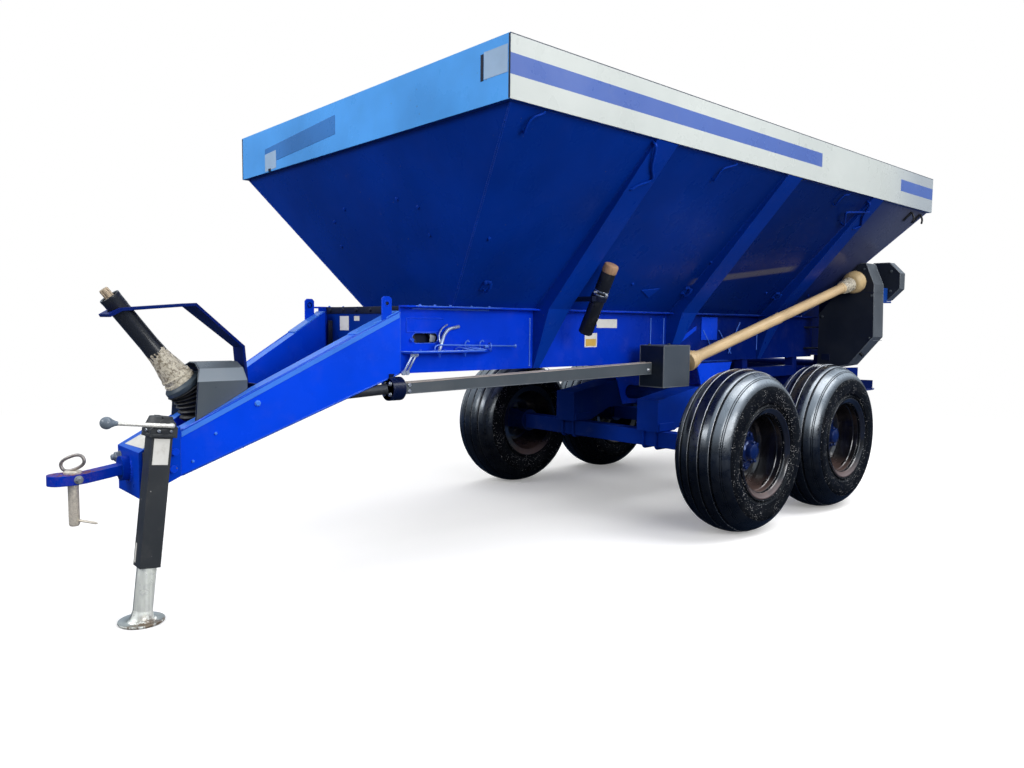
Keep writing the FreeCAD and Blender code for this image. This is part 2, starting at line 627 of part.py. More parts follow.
def hitch_pin(eye_z):
    """Drop pin, its cap on the tongue, with an oval lifting ring; eye_z is the tongue's underside."""
    top = eye_z + TONGUE_THICK
    free = rod(V(0, PIN_Y, PIN_BOTTOM_Z), V(0, PIN_Y, eye_z), PIN_R)
    shank = rod(V(0, PIN_Y, eye_z), V(0, PIN_Y, top + SEAT), PIN_SHANK_R)
    cap = rod(V(0, PIN_Y, top + SEAT), V(0, PIN_Y, top + SEAT + PIN_CAP_THICK), PIN_CAP_R)
    long_half, short_half = PIN_RING
    oval = Part.Ellipse(V(0, 0, 0), long_half, short_half).toShape()
    section = Part.Circle(V(long_half, 0, 0), V(0, 1, 0), PIN_RING_BAR_R).toShape()
    ring = Part.Wire([oval]).makePipeShell([Part.Wire([section])], True, False)
    ring.rotate(V(0, 0, 0), V(1, 0, 0), 90)
    ring.rotate(V(0, 0, 0), V(0, 0, 1), 90)
    ring.translate(V(0, PIN_Y, top + PIN_CAP_THICK + short_half))
    return free.fuse([shank, cap, ring]).removeSplitter()


# ---------------------------------------------------------------- jack
def jack_axis():
    tilt = radians(JACK_TILT)
    return V(0, sin(tilt), cos(tilt))


def on_jack(along):
    return V(JACK_X, JACK_FOOT_Y, 0).add(jack_axis().multiply(along))


def square_on_jack(side, low, high):
    """A square bar round the jack's axis."""
    u = jack_axis()
    w = V(0, u.z, -u.y)
    half = side / 2
    corners = []
    for sx, sy in ((-1, -1), (1, -1), (1, 1), (-1, 1)):
        corners.append(on_jack(low).add(V(sx * half, 0, 0)).add(V(w).multiply(sy * half)))
    return prism(corners, u.multiply(high - low))


def jack():
    tube = square_on_jack(JACK_TUBE, JACK_TUBE_LOW, JACK_TUBE_TOP)
    bore = rod(on_jack(JACK_TUBE_LOW - 10), on_jack(JACK_TUBE_TOP - 40), JACK_LEG_R + JACK_LEG_FIT)
    head_top = JACK_TUBE_TOP + JACK_HEAD_HEIGHT
    head = square_on_jack(JACK_HEAD_SIDE, JACK_TUBE_TOP, head_top)
    front_cut = Part.makeBox(JACK_HEAD_SIDE * 2, 60, 60, V(0, -30, -30))
    front_cut.rotate(V(0, 0, 0), V(1, 0, 0), 45 - JACK_TILT)
    for along in (-1, 1):
        edge = on_jack(head_top).add(V(-JACK_HEAD_SIDE, along * JACK_HEAD_SIDE / 2, 0))
        cutter = front_cut.copy()
        cutter.translate(edge)
        head = head.cut(cutter)
    mid_y = on_jack((NOSE_BOTTOM_Z + NOSE_TOP_Z) / 2).y
    mount = box(BEAM_FRONT_X + SEAT, JACK_X, mid_y - JACK_MOUNT, mid_y + JACK_MOUNT,
                JACK_MOUNT_LOW_Z, NOSE_TOP_Z)
    housing = tube.fuse([head, mount]).cut(bore)
    export("jack_housing", housing.removeSplitter())
    foot_top = V(JACK_X, JACK_FOOT_Y, JACK_FOOT_THICK)
    foot = Part.makeCylinder(JACK_FOOT_R, JACK_FOOT_THICK, V(JACK_X, JACK_FOOT_Y, 0))
    skirt = Part.makeCone(JACK_FOOT_R * 0.8, JACK_LEG_R + 6, 14, foot_top)
    leg = rod(on_jack(JACK_FOOT_THICK), on_jack(JACK_TUBE_LOW + JACK_LEG_INSIDE), JACK_LEG_R)
    export("jack_leg", leg.fuse([foot, skirt]).removeSplitter())
    side = on_jack(CRANK_HUB_ALONG).add(V(JACK_HEAD_SIDE / 2, CRANK_BACK, 0))
    start = side.add(V(SEAT, 0, 0))
    out = start.add(V(22, 0, 0))
    end = out.add(V(0, -CRANK_LENGTH, CRANK_RISE))
    shaft = rod(start, out.add(V(6, 0, 0)), 12)
    lever = rod(out, end, 7)
    ball = Part.makeSphere(CRANK_BALL_R, end)
    export("jack_crank", shaft.fuse([lever, ball]).removeSplitter())


# ---------------------------------------------------------------- power input
def pto_point(along, aside=0.0):
    """A point on the parked shaft's axis, measured up from its bend; aside is square to it, forwards."""
    angle = radians(PTO_ELEVATION)
    y = PTO_BEND_Y - along * cos(angle) - aside * sin(angle)
    z = PTO_BEND_Z + along * sin(angle) - aside * cos(angle)
    return V(0, y, z)


def hood():
    rear = HOOD_FRONT_Y + HOOD_LENGTH

    def section(inset):
        side = HOOD_HALF_WIDTH - inset
        crown = HOOD_CROWN[0] - inset * 0.7
        crown_z = HOOD_CROWN[1] - inset * 0.8
        flat_z = HOOD_TOP[1] - inset
        right = [(-side, HOOD_LOW_Z), (-side, HOOD_SHOULDER_Z), (-crown, crown_z), (-HOOD_TOP[0], flat_z)]
        return right + [(-x, z) for x, z in reversed(right)]

    shell = prism_y(section(0), HOOD_FRONT_Y, rear)
    room = prism_y(section(SHEET), HOOD_FRONT_Y - 1, rear - SHEET)
    front = (HOOD_FRONT_Y - 2, beam_top_z(HOOD_FRONT_Y - 2) + SEAT)
    back = (rear + 2, beam_top_z(rear + 2) + SEAT)
    under = prism_x([front, back, (back[0], HOOD_LOW_Z - 5), (front[0], HOOD_LOW_Z - 5)],
                    -HOOD_HALF_WIDTH - 5, HOOD_HALF_WIDTH + 5)
    heights = (HOOD_LOW_Z - 5, HOOD_SHOULDER_Z, HOOD_TOP[1] + 5)
    line = [(HOOD_FRONT_Y + back, z) for back, z in zip(HOOD_RAKE, heights)]
    rake = prism_x([(HOOD_FRONT_Y - 2, heights[0])] + line + [(HOOD_FRONT_Y - 2, heights[-1])],
                   -HOOD_HALF_WIDTH - 5, HOOD_HALF_WIDTH + 5)
    export("input_hood", shell.cut([room, under, rake]).removeSplitter())


def power_input():
    hood()
    half_x, half_y = GEARBOX_HALF
    block = box(-half_x, half_x, GEARBOX_Y - half_y, GEARBOX_Y + half_y, GEARBOX_LOW_Z, GEARBOX_TOP_Z)
    nose_y = GEARBOX_Y - half_y - 32
    nose = rod(V(0, nose_y, INPUT_Z), V(0, GEARBOX_Y, INPUT_Z), BELLOWS_FOOT_R - 6)
    inner = beam_inner_x(GEARBOX_Y - 45) - SEAT
    bar = box(-inner, inner, GEARBOX_Y - 45, GEARBOX_Y + 45, GEARBOX_BAR_Z, GEARBOX_BAR_Z + 30)
    export("input_gearbox", block.fuse([nose, bar]).removeSplitter())

    tip = PTO_CONE_LENGTH + PTO_TUBE_LENGTH
    guard = cone(pto_point(0), pto_point(PTO_CONE_LENGTH), PTO_CONE_R, PTO_TUBE_R)
    tube = rod(pto_point(PTO_CONE_LENGTH), pto_point(tip), PTO_TUBE_R)
    lip = rod(pto_point(tip - 14), pto_point(tip), PTO_TUBE_R + PTO_LIP)
    stub = rod(pto_point(tip - 20), pto_point(tip + PTO_STUB_LENGTH), PTO_STUB_R)
    export("pto_shaft_guard", guard.fuse([tube, lip, stub]).removeSplitter())

    foot = V(0, nose_y - 4, INPUT_Z + 14)
    top = pto_point(-BELLOWS_COLLAR_LENGTH)
    shapes = [rod(top, pto_point(-SEAT), BELLOWS_COLLAR_R)]
    for i in range(BELLOWS_RINGS):
        a = i / BELLOWS_RINGS
        b = (i + 1) / BELLOWS_RINGS
        low = foot.add(top.sub(foot).multiply(a))
        high = foot.add(top.sub(foot).multiply(b))
        r0 = BELLOWS_FOOT_R + (BELLOWS_COLLAR_R - BELLOWS_FOOT_R) * a
        r1 = BELLOWS_FOOT_R + (BELLOWS_COLLAR_R - BELLOWS_STEP - BELLOWS_FOOT_R) * b + BELLOWS_STEP
        shapes.append(cone(low, high, r0, r1))
    spigot = rod(foot, V(0, nose_y - SEAT, INPUT_Z), BELLOWS_FOOT_R)
    bellows = spigot.fuse(shapes).cut([block, nose])
    export("pto_bellows", bellows.removeSplitter())
    support_arm(tip)


def support_arm(tip):
    """Bent plate that carries the parked shaft; tip is the far end of the shaft's guard."""
    profile = []
    plan = []
    last = len(ARM_Y) - 1
    for i in range(last + 1):
        before = max(i - 1, 0)
        after = min(i + 1, last)
        normal = V(0, ARM_Z[before] - ARM_Z[after], ARM_Y[after] - ARM_Y[before])
        normal.normalize().multiply(ARM_THICK)
        profile.append(((ARM_Y[i], ARM_Z[i]), (ARM_Y[i] - normal.y, ARM_Z[i] - normal.z)))
        plan.append((ARM_HALF[i], ARM_Y[i]))
    outline = [top for top, under in profile] + [under for top, under in reversed(profile)]
    blade = prism_x(outline, -HOOD_HALF_WIDTH, HOOD_HALF_WIDTH)
    plan[0] = (plan[0][0], plan[0][1] - 2 * ARM_THICK)
    plan[-1] = (plan[-1][0], plan[-1][1] + 2 * ARM_THICK)
    shape = prism_z(plan + [(-x, y) for x, y in reversed(plan)], ARM_Z[-1] - 1, PTO_BEND_Z + tip)
    blade = blade.common(shape)
    foot_y = ARM_Y[-1]
    foot_z = ARM_Z[-1]
    inner = beam_inner_x(foot_y - ARM_THICK) - SEAT
    foot = box(-inner, inner, foot_y - ARM_THICK, foot_y, foot_z, foot_z + ARM_FOOT_HEIGHT)
    room = rod(pto_point(tip / 2), pto_point(tip + PTO_STUB_LENGTH), PTO_TUBE_R + PTO_LIP + SEAT)
    export("pto_support_arm", blade.fuse(foot).cut(room).removeSplitter())


# ---------------------------------------------------------------- side drive line
def side_drive():
    start = SIDE_SHAFT_FRONT
    end = SIDE_SHAFT_REAR
    half = SIDE_GUARD_W / 2

    def ring(centre, height):
        return [centre.add(V(-half, 0, -height / 2)), centre.add(V(half, 0, -height / 2)),
                centre.add(V(half, 0, height / 2)), centre.add(V(-half, 0, height / 2))]

    front = start.add(V(0, BEARING_DEPTH / 2 + SEAT, 0))
    guard = hexa(ring(front, SIDE_GUARD_FRONT_H), ring(end.sub(V(0, SEAT, 0)), SIDE_GUARD_REAR_H))
    export("side_shaft_guard", guard)
    x = start.x
    y0 = start.y - BEARING_DEPTH / 2
    housing = Part.makeCylinder(BEARING_R, BEARING_DEPTH, V(x, y0, start.z), V(0, 1, 0))
    plate = box(x - BEARING_R, x + 12, y0 + 2, y0 + 30, start.z, RAIL_BOTTOM_Z - SEAT)
    beam = drawbar_beam()
    beam.translate(V(0, 0, -SEAT))
    export("shaft_bearing", housing.fuse(plate).cut(beam).removeSplitter())
    half_x, half_y = GEARBOX_HALF
    around = box(-half_x - SEAT, half_x + SEAT, GEARBOX_Y - half_y - SEAT, GEARBOX_Y + half_y + SEAT,
                 GEARBOX_LOW_Z, 2 * GEARBOX_TOP_Z)
    shaft = rod(CROSS_SHAFT_FRONT, cross_shaft_rear(), CROSS_SHAFT_R)
    export("cross_shaft", shaft.cut([housing, around]))
    x0 = RAIL_WEB_X + JOINT_OUT
    joint_rear = JOINT_FRONT_Y + JOINT_LENGTH
    z0 = RAIL_BOTTOM_Z - JOINT_BELOW
    export("joint_guard", box(x0, x0 + JOINT_WIDTH, JOINT_FRONT_Y, joint_rear, z0, z0 + JOINT_HEIGHT))
    a = V(RAIL_WEB_X + CARDAN_OUT, joint_rear + CARDAN_GAP, RAIL_BOTTOM_Z + CARDAN_RISE)
    b = V(side_x(CARDAN_REAR_Z) + CARDAN_CLEAR, CASE_FRONT_Y - CARDAN_GAP, CARDAN_REAR_Z)
    unit = b.sub(a).normalize()
    bell = V(unit).multiply(CARDAN_BELL_LENGTH)
    lap = V(unit).multiply(SHEET)
    tube = rod(a.add(bell).sub(lap), b.sub(bell).add(lap), CARDAN_TUBE_R)
    bell_front = cone(a, a.add(bell), CARDAN_BELL_R, CARDAN_TUBE_R + SHEET)
    bell_rear = cone(b.sub(bell), b, CARDAN_TUBE_R + SHEET, CARDAN_BELL_R)
    export("cardan_guard", tube.fuse([bell_front, bell_rear]).removeSplitter())
    stub_front = rod(V(a.x, joint_rear + SEAT, a.z), V(a.x, a.y + CARDAN_GAP, a.z), CARDAN_STUB_R)
    stub_rear = rod(V(b.x, b.y - CARDAN_GAP, b.z), V(b.x, CASE_FRONT_Y - SEAT, b.z), CARDAN_STUB_R)
    export("cardan_stubs", [stub_front.cut(bell_front), stub_rear.cut(bell_rear)])
    rear = CASE_FRONT_Y + CASE_DEPTH
    belly_x = side_x(CASE_OUTER_Z[3]) + CASE_OUTER_GAP[0]
    outer_x = [RAIL_WEB_X + out for out in CASE_LOW_OUT] + [belly_x]
    outer_x += [side_x(z) + gap for z, gap in zip(CASE_OUTER_Z[3:], CASE_OUTER_GAP[1:])]
    outer = list(zip(outer_x, CASE_OUTER_Z))
    inner = [(side_x(z) + gap, z) for gap, z in zip(CASE_INNER_GAP, CASE_INNER_Z)]
    case = prism_y(outer + inner, CASE_FRONT_Y, rear)
    brackets = []
    for z in CASE_BRACKET_Z:
        y0 = CASE_FRONT_Y + CARDAN_GAP
        reach = inner[-1][0] + CASE_BRACKET_THICK
        brackets.append(box(RAIL_WEB_X + SEAT, reach, y0, y0 + CASE_BRACKET_DEPTH,
                            z, z + CASE_BRACKET_THICK))
    export("chain_case", case.fuse(brackets).removeSplitter())
    middle_x = side_x(OCTAGON_Z) + OCTAGON_OUT
    y0 = rear + OCTAGON_STAND_OFF
    corners = []
    for i in range(8):
        angle = pi / 8 + i * pi / 4
        corners.append((middle_x + OCTAGON_R * cos(angle), OCTAGON_Z + OCTAGON_R * sin(angle)))
    octagon = prism_y(corners, y0, y0 + OCTAGON_DEPTH)
    boss_x = middle_x + BOSS_OFFSET[0]
    boss_z = OCTAGON_Z + BOSS_OFFSET[1]
    boss = rod(V(boss_x, rear + SEAT, boss_z), V(boss_x, y0 + 1, boss_z), BOSS_R)
    export("sprocket_guard", octagon.fuse(boss).removeSplitter())


# ---------------------------------------------------------------- conveyor
def racetrack(radius, y0, y1, z, half):
    """A flat loop round two drums, solid, seen from the side."""
    a = V(-half, y0, z + radius)
    b = V(-half, y1, z + radius)
    c = V(-half, y1, z - radius)
    d = V(-half, y0, z - radius)
    edges = [Part.LineSegment(a, b).toShape(), Part.Arc(b, V(-half, y1 + radius, z), c).toShape(),
             Part.LineSegment(c, d).toShape(), Part.Arc(d, V(-half, y0 - radius, z), a).toShape()]
    return Part.Face(Part.Wire(edges)).extrude(V(2 * half, 0, 0))


def conveyor():
    z = BELT_TOP_Z - BELT_THICK - DRUM_R
    outer = racetrack(DRUM_R + BELT_THICK, DRUM_FRONT_Y, DRUM_REAR_Y, z, BELT_HALF_WIDTH)
    inner = racetrack(DRUM_R + SEAT, DRUM_FRONT_Y, DRUM_REAR_Y, z, BELT_HALF_WIDTH + 1)
    export("conveyor_belt", outer.cut(inner))
    drums = []
    half = RAIL_WEB_X - PLATE - SEAT
    for y in (DRUM_FRONT_Y, DRUM_REAR_Y):
        drum = rod(V(-BELT_HALF_WIDTH, y, z), V(BELT_HALF_WIDTH, y, z), DRUM_R)
        shaft = rod(V(-half, y, z), V(half, y, z), 25)
        drums.append(drum.fuse(shaft).removeSplitter())
    export("conveyor_drums", drums)


# ---------------------------------------------------------------- spreading discs
def disc(x):
    top = DISC_Z + DISC_THICK
    plate = Part.makeCylinder(DISC_R, DISC_THICK, V(x, DISC_Y, DISC_Z))
    hub = Part.makeCylinder(DISC_HUB_R, DISC_HUB_HEIGHT, V(x, DISC_Y, top))
    vanes = []
    for i in range(VANES):
        vane = box(VANE_ROOT, DISC_R - 10, -VANE_THICK / 2, VANE_THICK / 2, top, top + VANE_HEIGHT)
        vane.rotate(V(0, 0, 0), V(0, 0, 1), i * 360 / VANES + VANE_START)
        vane.translate(V(x, DISC_Y, 0))
        vanes.append(vane)
    spindle_top = GEARBOX_Z - GEARBOX / 2 - SEAT
    spindle = Part.makeCylinder(DISC_SPINDLE_R, spindle_top - top, V(x, DISC_Y, top))
    return plate.fuse([hub, spindle] + vanes).removeSplitter()


def subframe_side(x):
    """A bar under the rail on two posts."""
    x0 = x - SUBFRAME_WIDTH / 2
    x1 = x + SUBFRAME_WIDTH / 2
    y0, y1 = SUBFRAME_Y
    z0, z1 = SUBFRAME_Z
    posts = []
    for y in (y0, y1 - SUBFRAME_POST):
        posts.append(box(x0, x1, y, y + SUBFRAME_POST, z1 - 1, RAIL_BOTTOM_Z - SEAT))
    return box(x0, x1, y0, y1, z0, z1).fuse(posts).removeSplitter()


def spinner():
    export("spinner_disc_left", disc(DISC_X))
    export("spinner_disc_right", disc(-DISC_X))
    half = GEARBOX / 2
    low = GEARBOX_Z - half
    gearbox = box(DISC_X - half, DISC_X + half, DISC_Y - half, DISC_Y + half, low, low + GEARBOX)
    tube = rod(V(-DISC_X, DISC_Y, GEARBOX_Z), V(DISC_X, DISC_Y, GEARBOX_Z), GEARBOX_TUBE_R)
    export("spinner_gearboxes", tube.fuse(both_sides(gearbox)).removeSplitter())
    web = RAIL_WEB_X - PLATE - SEAT
    arm_y = CROSS_Y[-1] + CROSS_DEPTH / 2 + SEAT
    arm = box(web - PLATE, web, arm_y, DISC_Y + half, GEARBOX_Z + half + SEAT, ARM_TOP_Z)
    export("spinner_frame", both_sides(subframe_side(SUBFRAME_X)) + both_sides(arm))
    y0 = SUBFRAME_Y[1] + SEAT
    z0 = SHIELD_LOW_Z
    z1 = SUBFRAME_Z[1]
    t = SHIELD_THICK
    outer = SHIELD_HALF_WIDTH + WING_OUT
    outline = [(SHIELD_HALF_WIDTH, y0), (outer, y0 + WING_LENGTH), (outer - t, y0 + WING_LENGTH),
               (SHIELD_HALF_WIDTH - t, y0 + t)]
    outline += [(-x, y) for x, y in reversed(outline)]
    export("spinner_shield", prism_z(outline, z0, z1))


# ---------------------------------------------------------------- running gear
def tyre(x, y):
    w = TYRE_WIDTH / 2
    r = TYRE_R
    seat = RIM_HALF_WIDTH - BARREL_LIP
    bead = RIM_HALF_WIDTH - BARREL_SLOPE
    right = [(w * 0.62, r - TYRE_CROWN), (w * 0.86, r - TYRE_SHOULDER), (w, r - TYRE_BULGE),
             (w * 0.97, r - TYRE_WALL), (seat, RIM_FLANGE_R + SEAT), (bead, BEAD_R + SEAT)]
    left = [(-across, radius) for across, radius in reversed(right)]
    return revolve_x([(0, r)] + right + left, x, y, TYRE_R)


def wheel_rim(x, y):
    """Outboard is +X: the plate is near the rim's middle, with the hub's flange and cap on it."""
    w = RIM_HALF_WIDTH
    outside = [(w, RIM_FLANGE_R), (w - BARREL_LIP / 2, RIM_FLANGE_R), (w - BARREL_SLOPE, BEAD_R)]
    inside = [(-across, radius) for across, radius in reversed(outside)]
    bore = BEAD_R - BARREL_WALL
    barrel = outside + inside + [(BARREL_LIP / 2 - w, bore), (w - BARREL_LIP / 2, bore)]
    ring = revolve_x(barrel, x, y, TYRE_R)
    edge = BEAD_R - BARREL_WALL / 2
    face = DISH_THICK - DISH_X
    plate = revolve_x([(-DISH_X, 0), (-DISH_X, edge), (face, edge), (face, 0)], x, y, TYRE_R)
    hub = rod(V(x - HUB_BACK, y, TYRE_R), V(x + face, y, TYRE_R), HUB_R)
    flange = rod(V(x + face, y, TYRE_R), V(x + face + HUB_FLANGE, y, TYRE_R), HUB_FLANGE_R)
    cap = rod(V(x + face, y, TYRE_R), V(x + HUB_CAP, y, TYRE_R), HUB_CAP_R)
    socket = rod(V(x - HUB_BACK - 1, y, TYRE_R), V(x - SPINDLE_END, y, TYRE_R), SPINDLE_R + HUB_FIT)
    return ring.fuse([plate, hub, flange, cap]).cut(socket).removeSplitter()


def running_gear():
    for name, y in (("front", AXLE_FRONT_Y), ("rear", AXLE_REAR_Y)):
        left_tyre = tyre(WHEEL_X, y)
        left_rim = wheel_rim(WHEEL_X, y)
        export("tyre_%s_left" % name, left_tyre)
        export("tyre_%s_right" % name, mirror_x(left_tyre))
        export("wheel_rim_%s_left" % name, left_rim)
        export("wheel_rim_%s_right" % name, mirror_x(left_rim))
    half = AXLE_SQUARE / 2
    axles = []
    end = WHEEL_X - HUB_BACK - AXLE_GAP
    tip = WHEEL_X - SPINDLE_END - SPINDLE_ROOM
    for y in (AXLE_FRONT_Y, AXLE_REAR_Y):
        beam = box(-end, end, y - half, y + half, TYRE_R - half, TYRE_R + half)
        spindle = rod(V(-tip, y, TYRE_R), V(tip, y, TYRE_R), SPINDLE_R)
        axles.append(beam.fuse(spindle).removeSplitter())
    export("axles", axles)
    x0, x1 = WALKER_X
    low = TYRE_R + half + SEAT
    y0 = AXLE_FRONT_Y - WALKER_END
    y1 = AXLE_REAR_Y + WALKER_END
    arch = low + WALKER_ARCH
    slope = WALKER_TOP_Z - WALKER_SLOPE
    outline = [(y0, low), (AXLE_FRONT_Y + WALKER_END, low), (PIVOT_Y - WALKER_BELLY, arch),
               (PIVOT_Y + WALKER_BELLY, arch), (AXLE_REAR_Y - WALKER_END, low), (y1, low), (y1, slope),
               (PIVOT_Y + WALKER_CROWN, WALKER_TOP_Z), (PIVOT_Y - WALKER_CROWN, WALKER_TOP_Z), (y0, slope)]
    walker = prism_x(outline, x0, x1)
    walker = walker.cut(rod(V(x0 - 1, PIVOT_Y, PIVOT_Z), V(x1 + 1, PIVOT_Y, PIVOT_Z), PIVOT_R + SEAT))
    export("walking_beams", both_sides(walker))
    shaft_end = x1 + PIVOT_END
    shaft = rod(V(-shaft_end, PIVOT_Y, PIVOT_Z), V(shaft_end, PIVOT_Y, PIVOT_Z), PIVOT_R)
    export("pivot_shaft", shaft)
    hangers = []
    under_rail = RAIL_BOTTOM_Z - SEAT
    inner_x = x0 - PLATE - HANGER_GAP
    outer_x = x1 + PLATE + HANGER_GAP
    for x in (inner_x, x1 + HANGER_GAP):
        plate = prism_x([(PIVOT_Y - HANGER_TOP, under_rail), (PIVOT_Y + HANGER_TOP, under_rail),
                         (PIVOT_Y + HANGER_FOOT, PIVOT_Z - HANGER_BELOW),
                         (PIVOT_Y - HANGER_FOOT, PIVOT_Z - HANGER_BELOW)], x, x + PLATE)
        hangers.append(plate)
    cap = box(inner_x, outer_x, PIVOT_Y - HANGER_TOP, PIVOT_Y + HANGER_TOP, under_rail - 2 * PLATE, under_rail)
    hole = rod(V(inner_x - 1, PIVOT_Y, PIVOT_Z), V(outer_x + 1, PIVOT_Y, PIVOT_Z), PIVOT_R + SEAT)
    hanger = hangers[0].fuse([hangers[1], cap]).cut(hole).removeSplitter()
    export("pivot_hangers", both_sides(hanger))


# ---------------------------------------------------------------- small fittings
def shelf():
    """Narrow lever shelf welded to the left rail's web."""
    x0 = RAIL_WEB_X + SEAT
    x1 = x0 + SHELF_WIDTH
    y0, y1 = SHELF_Y
    plan = [(x0, y0), (x1, y0 + SHELF_TAPER / 3), (x1, y1 - SHELF_TAPER), (x0, y1)]
    return prism_z(plan, SHELF_Z, SHELF_Z + SHELF_THICK)


def fittings():
    export("lever_shelf", shelf())
    rib_rear = RIB_CENTRES_Y[0] + RIB_WIDTH / 2
    foot = V(RAIL_WEB_X + CANISTER_OUT, rib_rear + CANISTER_BEHIND, HOPPER_FLOOR_Z - CANISTER_BELOW)
    top_z = foot.z + CANISTER_RISE
    top = V(side_x(top_z) + CANISTER_CLEAR, foot.y, top_z)
    along = top.sub(foot)
    export("document_canister", rod(foot, top, CANISTER_R))
    low = foot.add(V(along).multiply(CLAMP_SHARE))
    high = foot.add(V(along).multiply(CLAMP_SHARE + 0.06))
    face = rib_rear + SEAT
    band = rod(low, high, CANISTER_R + CLAMP_THICK)
    z0 = low.z - CLAMP_HEIGHT / 2
    x0 = rib_outer_x(low.z) - CLAMP_HOLD
    arm = box(x0, low.x + CANISTER_R / 2, face, face + CLAMP_THICK, z0, z0 + CLAMP_HEIGHT)
    spacer = box(low.x - CANISTER_R / 2, low.x + CANISTER_R / 2, face, foot.y, z0, z0 + CLAMP_HEIGHT)
    room = rod(foot, top, CANISTER_R + SEAT)
    export("canister_clamp", band.fuse([arm, spacer]).cut(room).removeSplitter())


hopper()
ribs()
chassis()
drawbar()
jack()
power_input()
side_drive()
conveyor()
spinner()
running_gear()
fittings()
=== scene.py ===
import json
import math
import random

import bmesh
import bpy
from mathutils import Matrix, Vector


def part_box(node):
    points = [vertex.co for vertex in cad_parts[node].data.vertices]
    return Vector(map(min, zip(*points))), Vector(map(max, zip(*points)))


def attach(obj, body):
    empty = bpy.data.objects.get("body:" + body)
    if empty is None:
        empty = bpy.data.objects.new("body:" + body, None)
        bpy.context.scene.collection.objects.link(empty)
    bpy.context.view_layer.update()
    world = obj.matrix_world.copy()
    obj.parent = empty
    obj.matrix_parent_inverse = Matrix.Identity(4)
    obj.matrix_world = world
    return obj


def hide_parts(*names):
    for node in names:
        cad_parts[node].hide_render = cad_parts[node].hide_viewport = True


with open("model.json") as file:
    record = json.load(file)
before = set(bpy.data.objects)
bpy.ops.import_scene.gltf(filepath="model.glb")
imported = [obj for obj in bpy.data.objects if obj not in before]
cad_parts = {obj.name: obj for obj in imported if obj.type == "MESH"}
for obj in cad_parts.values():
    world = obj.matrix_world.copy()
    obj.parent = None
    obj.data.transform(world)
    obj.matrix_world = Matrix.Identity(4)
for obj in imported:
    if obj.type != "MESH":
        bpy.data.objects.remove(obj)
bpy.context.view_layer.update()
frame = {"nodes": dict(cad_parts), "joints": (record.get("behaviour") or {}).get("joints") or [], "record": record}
NODES = frame["nodes"]
X_AXIS = Vector((1, 0, 0))
Y_AXIS = Vector((0, 1, 0))
Z_AXIS = Vector((0, 0, 1))


